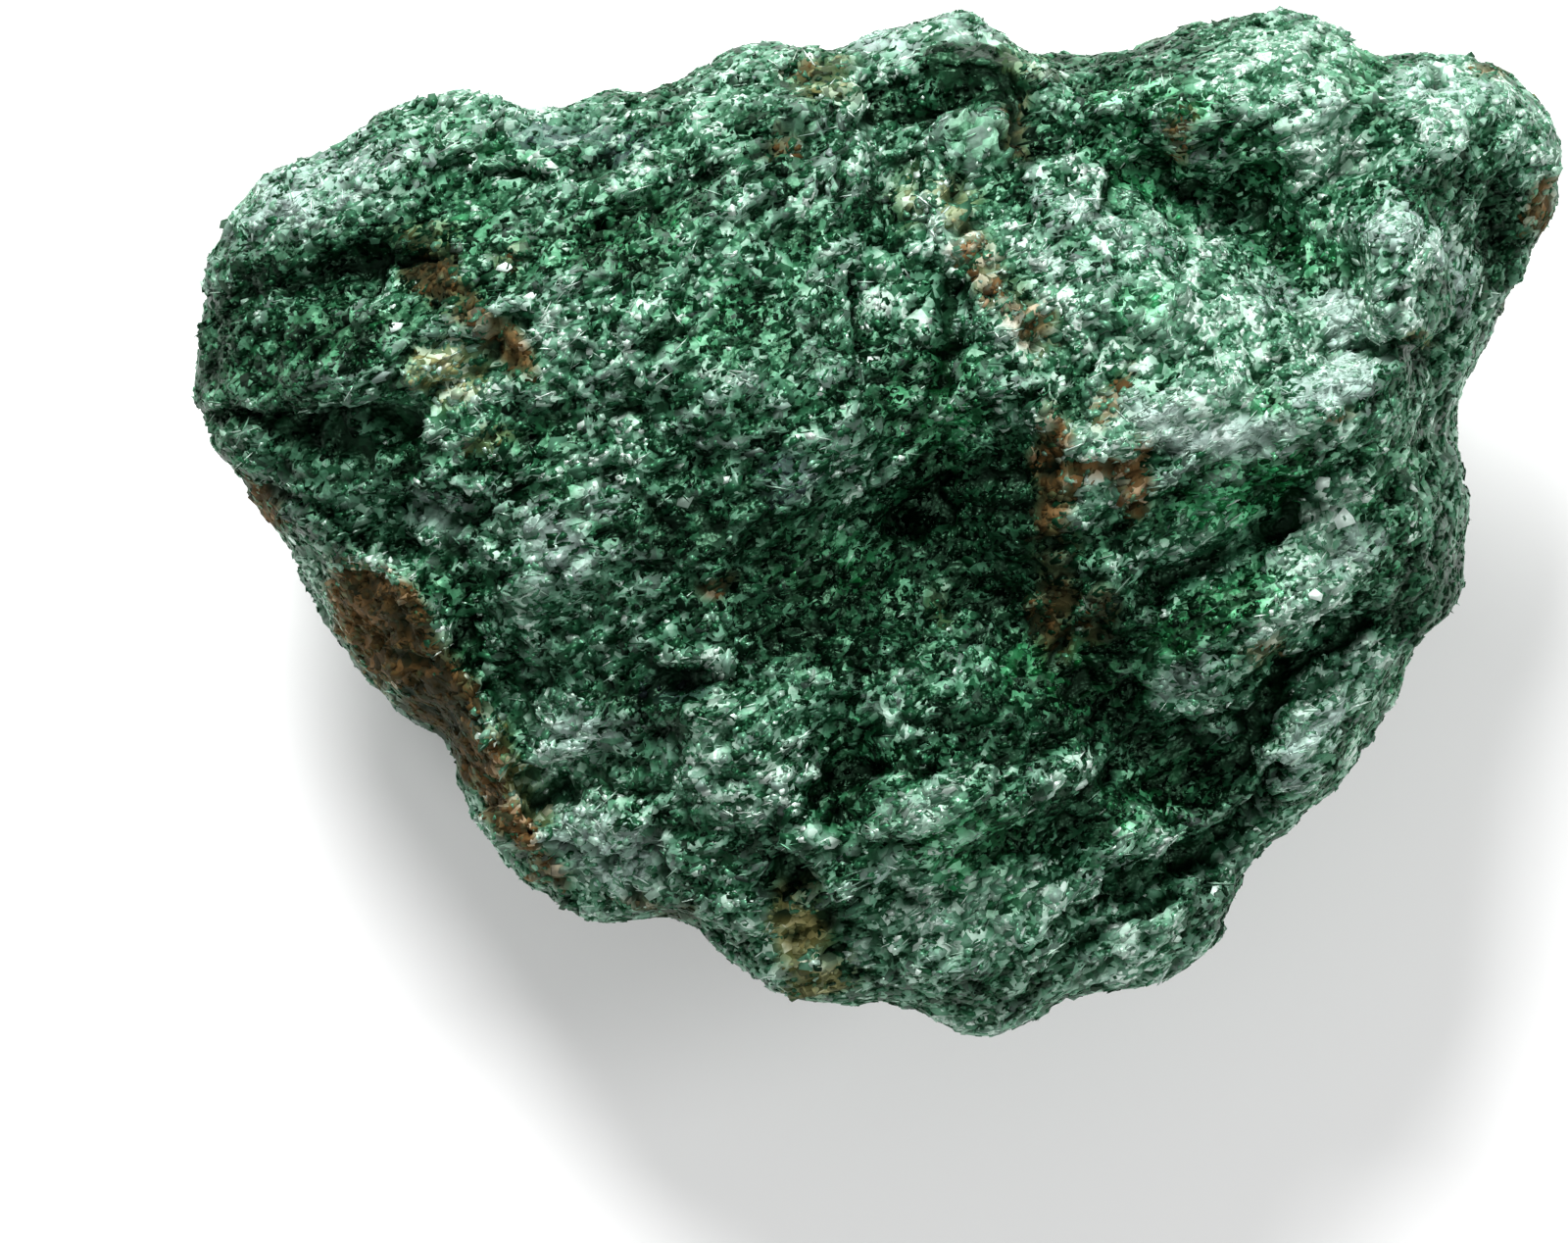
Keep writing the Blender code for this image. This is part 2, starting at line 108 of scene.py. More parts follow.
@dataclass(frozen=True)
class Noise:
    """Seeded noise over points in millimetres."""

    seed: int

    def table(self) -> np.ndarray:
        """Return this seed's shuffled keys."""
        return np.random.default_rng(self.seed).permutation(NOISE_KEYS)

    def keys(self, table: np.ndarray, index: np.ndarray) -> np.ndarray:
        """Give every cell of a grid a key.

        Args:
            table: Shuffled keys.
            index: Cells as whole numbers, one row each.

        Returns:
            One key for each row.
        """
        x, y, z = (index % NOISE_KEYS).T
        return table[(table[(table[x] + y) % NOISE_KEYS] + z) % NOISE_KEYS]

    def smooth(self, points: np.ndarray, cell: float) -> np.ndarray:
        """Smooth noise of about -1 to 1.

        Args:
            points: Places in millimetres.
            cell: Width of one bump.

        Returns:
            One value for each place.
        """
        table = self.table()
        slopes = np.random.default_rng(self.seed + 1).normal(size=(NOISE_KEYS, 3))
        slopes /= np.linalg.norm(slopes, axis=1, keepdims=True)
        grid = points / cell
        base = np.floor(grid).astype(int)
        offset = grid - base
        fade = offset ** 3 * (offset * (offset * 6.0 - 15.0) + 10.0)
        total = np.zeros(len(points))
        for corner in np.ndindex(2, 2, 2):
            corner = np.array(corner)
            key = self.keys(table, base + corner)
            weight = np.prod(np.where(corner == 1, fade, 1.0 - fade), axis=1)
            total += weight * np.sum(slopes[key] * (offset - corner), axis=1)
        return total * NOISE_GAIN

    def chips(self, points: np.ndarray, cell: float, tilt: float) -> np.ndarray:
        """Flat chips with random heights and tilts, one for each cell.

        Args:
            points: Places in millimetres.
            cell: Width of one chip.
            tilt: How far the chips lean, as a slope.

        Returns:
            Heights of about -1 to 1.
        """
        table = self.table()
        random = np.random.default_rng(self.seed + 2)
        jitter = random.uniform(0.0, 1.0, (NOISE_KEYS, 3))
        heights = random.uniform(-1.0, 1.0, NOISE_KEYS)
        leans = random.normal(size=(NOISE_KEYS, 3))
        grid = points / cell
        base = np.floor(grid).astype(int)
        nearest = np.full(len(points), np.inf)
        value = np.zeros(len(points))
        for corner in np.ndindex(3, 3, 3):
            spot = base + np.array(corner) - 1
            key = self.keys(table, spot)
            away = grid - (spot + jitter[key])
            distance = np.sum(away * away, axis=1)
            height = heights[key] + tilt * np.sum(away * leans[key], axis=1)
            closer = distance < nearest
            nearest = np.where(closer, distance, nearest)
            value = np.where(closer, height, value)
        return value


@dataclass(frozen=True)
class Bumps:
    """Smooth noise with bumps of one width, read at shifted places."""

    amount: float
    cell: float
    shift: float = 0.0

    def at(self, noise: Noise, points: np.ndarray) -> np.ndarray:
        """Return the height of the bumps at each place."""
        return self.amount * noise.smooth(points + self.shift, self.cell)


@dataclass(frozen=True)
class Region:
    """Ragged places on the stone, where noise rises past a limit."""

    low: float
    high: float
    bumps: tuple[Bumps, ...]

    def share_at(self, noise: Noise, points: np.ndarray, start: np.ndarray | float = 0.0) -> np.ndarray:
        """Share from 0 to 1 by which each place belongs to the region.

        Args:
            noise: Noise to read.
            points: Places on the stone.
            start: Value that the noise is added to.

        Returns:
            One share for each place.
        """
        value = start
        for bumps in self.bumps:
            value = value + bumps.at(noise, points)
        return smooth_step(self.low, self.high, value)


@dataclass(frozen=True)
class Crack:
    """A narrow open crack along a line of points of the face."""

    half_width: float
    depth: float
    line: tuple[tuple[float, float], ...]

    def depth_at(self, x: np.ndarray, y: np.ndarray) -> np.ndarray:
        """Depth of the crack at places of the face.

        Args:
            x: Places along the length.
            y: Places across it.

        Returns:
            Depths in millimetres, 0 away from the crack.
        """
        nearest = np.full(x.shape, np.inf)
        for (x0, y0), (x1, y1) in zip(self.line, self.line[1:]):
            run_x = x1 - x0
            run_y = y1 - y0
            share = ((x - x0) * run_x + (y - y0) * run_y) / (run_x ** 2 + run_y ** 2)
            share = np.clip(share, 0.0, 1.0)
            nearest = np.minimum(nearest, np.hypot(x - x0 - share * run_x, y - y0 - share * run_y))
        return self.depth * np.exp(-(nearest / self.half_width) ** CRACK_STEEPNESS)


@dataclass(frozen=True)
class Patch:
    """A stained, frosted or darker patch of the face."""

    x: float
    y: float
    half_length: float
    half_width: float
    turn: float
    strength: float

    def strength_at(self, x: np.ndarray, y: np.ndarray) -> np.ndarray:
        """Strength of the patch at places of the face.

        Args:
            x: Places along the length.
            y: Places across it.

        Returns:
            Values from 0 to the patch's strength.
        """
        cosine = math.cos(math.radians(self.turn))
        sine = math.sin(math.radians(self.turn))
        along = (x - self.x) * cosine + (y - self.y) * sine
        across = (y - self.y) * cosine - (x - self.x) * sine
        distance = np.hypot(along / self.half_length, across / self.half_width)
        return self.strength * (1.0 - smooth_step(*PATCH_FADE, distance))


CRACKS = (
    # The deep crack of the left end and the slab below it
    Crack(0.55, 2.2, ((-42.5, 7.2), (-38.6, 6.9), (-35.4, 5.8), (-31.6, 6.8), (-28.6, 6.2))),
    Crack(0.45, 1.4, ((-38.2, 2.3), (-35.0, 1.4), (-31.2, -0.9))),
    Crack(0.50, 0.9, ((-42.5, 14.6), (-36.2, 15.6), (-30.6, 17.0), (-26.4, 17.6))),
    # Clefts round the small block at the top
    Crack(0.40, 1.2, ((0.4, 29.0), (1.2, 26.6), (3.4, 26.0), (5.4, 27.2))),
    Crack(0.40, 0.8, ((5.0, 29.6), (8.0, 29.2), (9.6, 27.8), (10.2, 24.6))),
    # Upright cracks left and right of the trough
    Crack(0.36, 1.7, ((-0.4, 16.2), (-0.2, 13.8), (0.0, 11.6))),
    Crack(0.36, 1.8, ((4.8, 15.4), (5.0, 12.2), (4.9, 9.2))),
    # Feet of the diagonal valleys
    Crack(0.50, 1.2, ((23.6, -15.2), (25.4, -10.3), (28.6, -7.8), (31.6, -5.6))),
    Crack(0.45, 1.8, ((13.2, -24.6), (18.8, -21.9), (23.6, -19.4), (26.2, -15.6))),
    Crack(0.45, 0.5, ((18.6, -3.4), (23.9, -0.9), (26.2, 0.4))),
    Crack(0.40, 1.1, ((31.4, 11.2), (33.6, 10.8), (36.0, 10.8))),
    Crack(0.40, 1.2, ((11.2, -29.2), (14.2, -25.8), (19.4, -23.0))),
    # Creases of the lower half and of the left face
    Crack(0.40, 1.0, ((-16.8, -10.8), (-14.2, -10.2), (-11.2, -9.1), (-8.4, -9.3))),
    Crack(0.35, 0.9, ((-21.0, -16.9), (-18.2, -16.2), (-14.2, -16.6))),
    Crack(0.45, 1.0, ((0.2, -15.2), (3.2, -14.8), (6.4, -15.0), (12.6, -13.4))),
    Crack(0.35, 0.9, ((-28.4, 1.2), (-25.0, 0.4), (-22.6, -1.0))),
    Crack(0.40, 0.9, ((-17.4, 18.6), (-11.2, 21.6), (-6.0, 24.3))),
    Crack(0.30, 0.8, ((-22.6, 22.8), (-19.4, 22.2), (-16.4, 23.6), (-12.6, 23.0))),
    Crack(0.70, 2.0, ((-5.2, -21.4), (-4.6, -22.0))),
)

PATCHES: dict[Mark, tuple[Patch, ...]] = {
    # Iron stains
    Mark.RUST: (
        Patch(-27.0, 16.2, 2.8, 1.6, -30.0, 1.05),
        Patch(-22.4, 11.4, 2.8, 1.3, -45.0, 0.95),
        Patch(-24.8, 13.8, 2.4, 1.1, -50.0, 0.85),
        Patch(-22.6, 17.4, 1.8, 1.0, 0.0, 0.5),
        Patch(-9.2, -3.8, 1.5, 0.8, 10.0, 0.9),
        Patch(-3.9, 29.6, 1.4, 0.6, 0.0, 0.7),
        Patch(-5.2, 24.4, 2.0, 0.9, 30.0, 0.7),
        Patch(10.6, 13.0, 1.6, 2.6, 20.0, 0.85),
        Patch(7.6, 16.2, 1.8, 3.2, 24.0, 0.7),
        Patch(12.0, 3.2, 1.6, 5.2, 4.0, 1.05),
        Patch(14.8, 3.6, 3.0, 0.9, -20.0, 1.0),
        Patch(17.2, 2.8, 1.1, 3.2, 0.0, 1.0),
        Patch(15.4, 8.4, 0.9, 3.0, -20.0, 0.75),
        Patch(11.8, -4.8, 1.4, 4.0, 0.0, 0.85),
        Patch(14.8, -5.6, 1.6, 1.8, 0.0, 0.65),
        Patch(26.0, -7.8, 1.8, 0.8, 20.0, 0.5),
        Patch(29.4, 7.2, 1.4, 0.6, 0.0, 0.9),
        Patch(9.8, 25.6, 1.0, 2.6, 10.0, 0.8),
        Patch(20.0, 24.8, 0.9, 1.8, -16.0, 0.7),
        Patch(43.4, 20.4, 1.4, 2.4, 0.0, 1.0),
        Patch(40.4, 29.6, 1.4, 0.8, -20.0, 0.8),
        Patch(-38.4, 1.6, 3.0, 1.2, -48.0, 1.1),
        Patch(-30.4, -6.4, 5.6, 3.4, -52.0, 1.5),
        Patch(-27.0, -11.0, 3.6, 2.8, -50.0, 1.5),
        Patch(-24.6, -14.4, 3.4, 1.8, -56.0, 1.3),
        Patch(-22.4, -18.2, 4.6, 1.5, -58.0, 1.1),
        Patch(-20.4, -21.6, 2.4, 1.0, -50.0, 0.8),
        Patch(-13.6, -24.0, 3.4, 0.7, -10.0, 0.7),
    ),
    # Ochre earth
    Mark.OCHRE: (
        Patch(-26.2, 10.0, 2.8, 2.3, 0.0, 0.65),
        Patch(-27.8, 18.2, 2.0, 1.4, 0.0, 0.5),
        Patch(-23.6, 5.2, 1.7, 0.9, 30.0, 0.6),
        Patch(-31.4, -5.6, 2.2, 1.0, -50.0, 0.8),
        Patch(6.0, 20.4, 2.4, 1.3, -60.0, 0.7),
        Patch(2.8, 21.4, 1.2, 2.2, 0.0, 0.4),
        Patch(-2.4, 28.6, 2.8, 1.9, -20.0, 0.5),
        Patch(-4.2, -25.4, 2.0, 3.4, 6.0, 1.2),
        Patch(-2.6, -28.6, 2.8, 1.4, 10.0, 1.0),
        Patch(-30.0, -8.6, 3.4, 1.2, -48.0, 0.5),
        Patch(-22.0, -15.4, 4.0, 1.0, -60.0, 0.8),
        Patch(10.4, 29.8, 2.6, 0.9, -20.0, 0.4),
        Patch(24.6, -8.0, 1.4, 0.8, 20.0, 0.5),
        Patch(35.2, 11.6, 2.4, 0.5, 4.0, 0.7),
        Patch(4.8, -5.0, 1.2, 1.8, 0.0, 0.3),
    ),
    # Frosted, powdery places
    Mark.FROST: (
        Patch(-35.0, 21.6, 6.0, 2.4, 30.0, 0.6),
        Patch(-19.4, -1.4, 2.4, 3.4, 10.0, 0.55),
        Patch(-16.0, 2.0, 2.2, 1.4, 0.0, 0.5),
        Patch(-17.4, -13.0, 3.4, 2.2, 0.0, 0.5),
        Patch(-16.2, -20.6, 4.2, 2.6, -20.0, 0.6),
        Patch(1.6, 31.0, 2.2, 1.1, 0.0, 0.8),
        Patch(6.2, 31.8, 3.0, 0.7, -4.0, 0.3),
        Patch(15.6, 19.2, 6.0, 1.2, -26.0, 0.5),
        Patch(12.4, 16.8, 3.4, 1.2, -30.0, 0.5),
        Patch(22.8, 5.6, 4.8, 1.3, -2.0, 1.2),
        Patch(18.2, 6.8, 1.8, 1.4, -20.0, 0.8),
        Patch(29.0, 9.2, 3.2, 1.2, 18.0, 1.2),
        Patch(30.0, 13.6, 1.3, 2.4, 20.0, 1.1),
        Patch(26.4, 15.2, 3.4, 1.2, -30.0, 0.5),
        Patch(34.0, 18.6, 3.4, 1.2, 0.0, 0.5),
        Patch(37.6, 16.4, 0.9, 3.4, 12.0, 0.7),
        Patch(36.4, 28.4, 4.0, 1.6, -12.0, 0.5),
        Patch(31.0, -1.4, 2.4, 1.0, 50.0, 0.7),
        Patch(20.4, -9.6, 3.2, 1.2, 40.0, 0.5),
        Patch(28.4, -13.4, 4.0, 1.4, 50.0, 0.6),
        Patch(-26.6, 1.0, 2.4, 1.0, 10.0, 0.5),
    ),
    # Clear emerald green places
    Mark.EMERALD: (
        Patch(19.0, 26.6, 6.0, 2.6, -10.0, 0.6),
        Patch(24.4, 23.4, 4.0, 2.4, -30.0, 0.5),
        Patch(7.6, 25.0, 2.8, 1.8, -14.0, 0.5),
        Patch(19.0, 21.6, 4.6, 2.2, -20.0, 0.5),
        Patch(27.6, 17.8, 4.0, 1.8, -30.0, 0.5),
        Patch(4.6, 7.4, 4.0, 5.0, 10.0, 0.6),
        Patch(17.6, 13.8, 3.0, 2.4, 0.0, 0.5),
        Patch(24.0, 2.4, 7.0, 2.6, 22.0, 0.8),
        Patch(33.6, 1.4, 3.6, 6.0, 0.0, 0.4),
        Patch(25.2, 7.9, 1.7, 1.6, 0.0, 0.6),
        Patch(21.6, -5.6, 6.0, 2.4, 30.0, 0.8),
        Patch(12.6, -9.0, 6.0, 3.0, -10.0, 0.7),
        Patch(6.6, -19.6, 5.0, 3.0, 20.0, 0.6),
        Patch(18.4, -17.4, 4.6, 3.0, 30.0, 0.6),
        Patch(-2.0, -2.4, 5.0, 3.0, 0.0, 0.5),
        Patch(-15.4, 18.6, 6.0, 3.4, 20.0, 0.5),
        Patch(-10.4, 13.0, 5.0, 3.0, 20.0, 0.4),
        Patch(-32.6, 12.0, 5.0, 3.0, 0.0, 0.5),
        Patch(-36.0, 9.0, 4.0, 1.6, -10.0, 0.5),
        Patch(-24.0, 24.4, 5.0, 1.8, -10.0, 0.4),
    ),
    # Darker places: partly the stone's deep, nearly black green, partly painted shade in the central
    # valley, hollows and cracks
    Mark.DEEP_AND_SHADE: (
        Patch(7.4, 0.2, 6.2, 5.2, -10.0, 1.4),
        Patch(1.6, 8.4, 3.6, 4.4, 0.0, 0.5),
        Patch(-7.4, -1.0, 6.0, 4.0, 10.0, 0.8),
        Patch(-2.8, -6.2, 9.0, 3.4, -8.0, 1.0),
        Patch(12.8, -5.4, 6.6, 3.8, -12.0, 0.8),
        Patch(8.6, -12.2, 7.0, 2.6, -6.0, 0.8),
        Patch(-1.2, -16.6, 2.6, 2.4, 0.0, 0.9),
        Patch(20.6, -15.6, 5.0, 2.8, -36.0, 1.0),
        Patch(14.6, -17.4, 3.8, 2.4, 20.0, 0.8),
        Patch(-13.2, 18.4, 5.0, 3.0, 20.0, 0.45),
        Patch(-20.4, 6.2, 4.0, 2.6, 0.0, 0.5),
        Patch(33.8, 10.8, 2.6, 0.9, 0.0, 0.8),
        Patch(16.0, 30.4, 5.0, 1.8, 0.0, 0.7),
        Patch(37.0, 14.6, 1.6, 2.4, 0.0, 0.5),
        Patch(7.4, 29.2, 3.6, 2.0, -10.0, 1.5),
        Patch(-27.2, 16.4, 2.8, 1.8, -30.0, 1.1),
        Patch(-41.0, 12.0, 2.6, 4.6, 0.0, 0.9),
        Patch(-34.6, 12.4, 4.0, 2.6, 0.0, 0.8),
        Patch(-41.0, 6.4, 2.6, 2.8, 0.0, 0.9),
        Patch(-34.4, 0.4, 4.0, 2.0, -20.0, 0.6),
        Patch(22.0, -5.4, 4.0, 2.2, 30.0, 0.8),
        Patch(8.4, -16.4, 3.6, 2.4, 0.0, 0.5),
        Patch(40.8, 18.6, 2.6, 5.6, 12.0, 0.7),
        Patch(23.0, -1.8, 6.0, 1.6, 22.0, 0.4),
        Patch(15.2, -11.2, 6.0, 3.2, -42.0, 1.1),
        Patch(36.0, -5.0, 2.8, 3.8, 0.0, 1.0),
        Patch(-13.0, 0.4, 4.2, 2.8, 0.0, 0.7),
        Patch(-13.4, -11.0, 4.6, 2.6, 0.0, 1.2),
        Patch(23.4, -9.8, 3.4, 4.4, 30.0, 0.5),
        Patch(33.8, -0.8, 3.4, 5.6, 0.0, 0.5),
        Patch(21.2, -23.6, 4.6, 2.2, 30.0, 0.5),
        Patch(-32.6, 4.4, 6.4, 2.8, -6.0, 0.8),
        Patch(-38.0, 9.8, 4.6, 3.6, 0.0, 0.6),
        Patch(-33.6, 5.3, 3.6, 1.0, -4.0, 1.7),
        Patch(-38.6, 6.7, 2.8, 0.7, -8.0, 1.6),
        Patch(-29.4, -10.4, 1.0, 0.6, -30.0, 1.3),
        Patch(-32.4, -4.0, 0.8, 0.5, 20.0, 1.1),
        Patch(-29.2, -7.4, 0.7, 0.5, -60.0, 1.1),
        Patch(-34.2, 17.2, 7.6, 2.6, 16.0, 1.0),
        Patch(-2.6, 12.4, 5.0, 3.0, 0.0, 0.35),
        Patch(-20.6, -8.8, 5.0, 1.8, -10.0, 0.4),
        Patch(-24.4, -4.2, 3.0, 2.4, -40.0, 0.4),
        Patch(-7.0, 25.4, 4.0, 1.8, 20.0, 0.5),
        Patch(2.4, 27.0, 2.2, 1.8, -20.0, 0.9),
        Patch(-8.4, 23.2, 3.6, 1.1, 24.0, 0.8),
        Patch(-15.8, 19.1, 1.3, 0.9, 0.0, 1.2),
        Patch(-3.7, 17.9, 0.8, 0.8, 0.0, 1.2),
        Patch(10.4, 24.4, 1.8, 2.6, 20.0, 0.7),
        Patch(-5.0, -20.6, 3.0, 2.0, 0.0, 0.5),
        Patch(-13.4, -24.0, 4.0, 1.2, -8.0, 0.6),
        Patch(14.6, -1.6, 3.4, 2.2, 0.0, 0.5),
        Patch(8.4, -29.4, 4.0, 1.6, 10.0, 0.5),
        Patch(-28.6, -6.6, 5.4, 3.0, -52.0, 0.6),
        Patch(-26.6, -11.8, 3.8, 2.8, -50.0, 1.1),
    ),
    # Paler places: partly pale mica flakes, partly painted light on faces of the form that fall in
    # shade
    Mark.PALE_AND_LIT: (
        Patch(0.8, 24.0, 2.4, 2.2, 0.0, 0.9),
        Patch(7.6, 18.4, 3.0, 3.2, 0.0, 0.8),
        Patch(-4.0, -26.0, 2.0, 3.4, 6.0, 0.7),
        Patch(14.8, 3.0, 2.6, 2.4, 0.0, 1.2),
        Patch(-37.6, 10.4, 3.0, 2.4, 0.0, 0.5),
        Patch(-19.6, -22.6, 2.8, 1.8, -30.0, 0.7),
        Patch(22.0, 13.0, 8.4, 4.6, -20.0, 1.2),
        Patch(22.4, 6.6, 6.0, 2.6, -4.0, 2.6),
        Patch(15.0, 6.8, 3.6, 2.8, 0.0, 1.2),
        Patch(29.4, 12.2, 3.6, 3.6, 0.0, 2.4),
        Patch(8.4, 12.2, 2.4, 2.6, 0.0, 0.7),
        Patch(13.0, 12.4, 5.4, 3.2, 0.0, 1.3),
        Patch(20.4, 18.4, 6.0, 2.0, -26.0, 0.8),
        Patch(29.0, 17.6, 2.6, 1.6, -20.0, 0.7),
        Patch(27.4, 30.0, 6.6, 3.6, 0.0, 1.3),
        Patch(38.0, 27.0, 6.0, 3.6, -12.0, 1.0),
        Patch(5.6, 31.8, 4.4, 1.0, -2.0, 0.2),
        Patch(29.4, 24.2, 3.8, 3.0, 0.0, 2.2),
        Patch(37.0, 11.6, 2.0, 3.0, 0.0, 0.6),
        Patch(-20.2, -5.2, 2.8, 2.0, 0.0, 0.6),
        Patch(29.0, 0.6, 3.6, 2.6, 24.0, 1.3),
        Patch(23.0, 0.2, 4.0, 2.2, 16.0, 1.4),
        Patch(28.6, -4.8, 4.0, 2.0, 34.0, 0.6),
        Patch(29.4, -11.8, 5.6, 2.4, 52.0, 0.25),
        Patch(17.6, -26.0, 5.4, 2.2, 20.0, 0.5),
        Patch(7.0, -23.6, 6.4, 3.4, 0.0, 2.0),
        Patch(12.6, -24.0, 4.0, 2.0, 20.0, 0.6),
        Patch(4.6, -17.2, 3.4, 1.8, -10.0, 1.2),
        Patch(-25.4, 9.9, 3.0, 2.3, -20.0, 2.0),
        Patch(-20.4, 12.0, 3.8, 3.0, 0.0, 0.6),
        Patch(-24.0, 16.6, 3.4, 1.6, -20.0, 0.5),
        Patch(-27.0, 6.8, 3.6, 1.8, 0.0, 1.6),
        Patch(-12.6, 15.6, 5.0, 3.4, 30.0, 0.4),
        Patch(-6.8, 27.6, 4.0, 1.6, 20.0, 0.5),
        Patch(-19.6, -17.0, 4.0, 2.4, -50.0, 2.0),
        Patch(-20.4, -11.2, 3.2, 2.0, 0.0, 1.2),
        Patch(-9.0, -14.0, 3.0, 3.6, 0.0, 0.5),
    ),
    # Smoother faces with few flakes
    Mark.SMOOTH: (
        Patch(7.6, 25.0, 3.0, 1.8, -14.0, 0.9),
        Patch(6.2, 31.6, 3.4, 0.8, -4.0, 0.9),
        Patch(7.8, 29.4, 3.0, 1.6, -10.0, 0.9),
        Patch(2.0, 30.6, 1.8, 1.0, 0.0, 0.7),
        Patch(-18.6, 25.2, 3.0, 1.4, 0.0, 0.6),
        Patch(-34.0, 3.4, 2.6, 1.2, -20.0, 0.6),
        Patch(-18.8, -2.2, 2.0, 2.4, 10.0, 0.4),
    ),
    # Grey, slaty places
    Mark.SLATE: (
        Patch(-19.0, 25.4, 3.4, 1.6, 0.0, 0.7),
        Patch(-15.4, 24.6, 2.0, 1.0, 0.0, 0.6),
        Patch(-4.2, 3.4, 2.4, 2.0, 0.0, 0.5),
        Patch(-12.0, -10.0, 3.4, 1.2, 10.0, 0.5),
    ),
}

# Single large flakes painted pale, as painted glints: x, y, width
PAINTED_GLINT_SPOTS = (
    (29.2, 2.9, 1.1),
    (30.2, 0.6, 1.4),
    (28.2, -4.0, 1.0),
    (-36.4, -0.6, 0.9),
    (0.4, 10.4, 1.0),
    (-22.6, 16.6, 1.0),
    (-21.2, 14.6, 0.9),
    (-29.4, 12.6, 0.9),
    (13.6, -16.2, 0.9),
    (22.8, -22.8, 0.9),
)


@dataclass
class Shell:
    """A closed mesh of four-sided faces, with its points in millimetres."""

    points: np.ndarray
    quads: np.ndarray
    edges: np.ndarray = field(init=False)

    def __post_init__(self) -> None:
        """List the edges once."""
        pairs = np.vstack([self.quads[:, [i, (i + 1) % 4]] for i in range(4)])
        pairs = np.sort(pairs, axis=1)
        self.edges = np.unique(pairs, axis=0)

    @classmethod
    def around(cls, source: bpy.types.Object, voxel: float) -> "Shell":
        """Make an even shell that follows a solid.

        Args:
            source: The object to follow.
            voxel: Width of the shell's faces, in millimetres.

        Returns:
            The shell.
        """
        copy = bpy.data.objects.new("shell", source.data.copy())
        bpy.context.scene.collection.objects.link(copy)
        even = copy.modifiers.new("even", "REMESH")
        even.mode = "VOXEL"
        even.voxel_size = voxel * MM
        graph = bpy.context.evaluated_depsgraph_get()
        mesh = bpy.data.meshes.new_from_object(copy.evaluated_get(graph))
        points = np.empty(len(mesh.vertices) * 3)
        mesh.vertices.foreach_get("co", points)
        corners = np.empty(len(mesh.loops), dtype=np.int64)
        mesh.loops.foreach_get("vertex_index", corners)
        bpy.data.objects.remove(copy, do_unlink=True)
        return cls(points.reshape(-1, 3) / MM, corners.reshape(-1, 4))

    def spread(self, values: np.ndarray, rounds: int) -> np.ndarray:
        """Average values with those of the points beside them.

        Args:
            values: One row for each point.
            rounds: How often to do it.

        Returns:
            The averaged values.
        """
        first, second = self.edges.T
        count = np.bincount(self.edges.ravel(), minlength=len(self.points))
        columns = []
        for column in values.reshape(len(values), -1).T:
            for _ in range(rounds):
                total = np.bincount(first, column[second], len(column))
                total += np.bincount(second, column[first], len(column))
                column = 0.5 * column + 0.5 * total / count
            columns.append(column)
        return np.array(columns).T.reshape(values.shape)

    def normals(self) -> np.ndarray:
        """Work out the outward direction at each point.

        Returns:
            One direction of length 1 for each point.
        """
        corners = self.points[self.quads]
        faces = np.cross(corners[:, 2] - corners[:, 0], corners[:, 3] - corners[:, 1])
        total = np.zeros_like(self.points)
        for axis in range(3):
            for corner in range(4):
                total[:, axis] += np.bincount(self.quads[:, corner], faces[:, axis], len(total))
        return total / np.maximum(np.linalg.norm(total, axis=1, keepdims=True), 1e-12)


def add_attributes(mesh: bpy.types.Mesh, grain: np.ndarray, marks: np.ndarray) -> None:
    """Write the values that the finishes read.

    Args:
        mesh: Mesh to write to.
        grain: Tint and painted shade of each point.
        marks: All marks of each point.
    """
    emerald = marks[:, Mark.EMERALD.value]
    layer = mesh.attributes.new("grain", "FLOAT_COLOR", "POINT")
    values = np.column_stack([grain, emerald, np.ones(len(grain))]).astype(np.float32)
    layer.data.foreach_set("color", values.ravel())
    layer = mesh.attributes.new("marks", "FLOAT_COLOR", "POINT")
    layer.data.foreach_set("color", marks[:, :4].astype(np.float32).ravel())


def add_map(mesh: bpy.types.Mesh, places: np.ndarray) -> None:
    """Lay the faces of a mesh out flat.

    Args:
        mesh: Mesh to write to.
        places: Place on the square from 0 to 1 of each face corner.
    """
    layer = mesh.uv_layers.new(name="OFBake")
    layer.data.foreach_set("uv", places.astype(np.float32).ravel())


def unfold_octants(points: np.ndarray, quads: np.ndarray, margin: float = 0.012) -> np.ndarray:
    """Unfold a closed skin like an octahedron whose lower half is split open.

    Args:
        points: Places in millimetres.
        quads: Corners of the faces.
        margin: Free edge round the square, for faces that cross a fold.

    Returns:
        Place on the square of each face corner.
    """
    low = points.min(axis=0)
    high = points.max(axis=0)
    ball = (points - (low + high) / 2.0) / (high - low)
    ball /= np.linalg.norm(ball, axis=1, keepdims=True)
    corners = ball[quads]
    side = np.where(corners.mean(axis=1) >= 0.0, 1.0, -1.0)[:, None, :]
    corners = corners / np.sum(corners * side, axis=2, keepdims=True)
    x, y = corners[:, :, 0], corners[:, :, 1]
    side_x, side_y, side_z = side[:, :, 0], side[:, :, 1], side[:, :, 2]
    u = np.where(side_z > 0.0, x, (1.0 - y * side_y) * side_x)
    v = np.where(side_z > 0.0, y, (1.0 - x * side_x) * side_y)
    flat = np.stack([u, v], axis=2).reshape(-1, 2)
    return np.clip(0.5 + flat * (0.5 - margin), 0.0, 1.0)


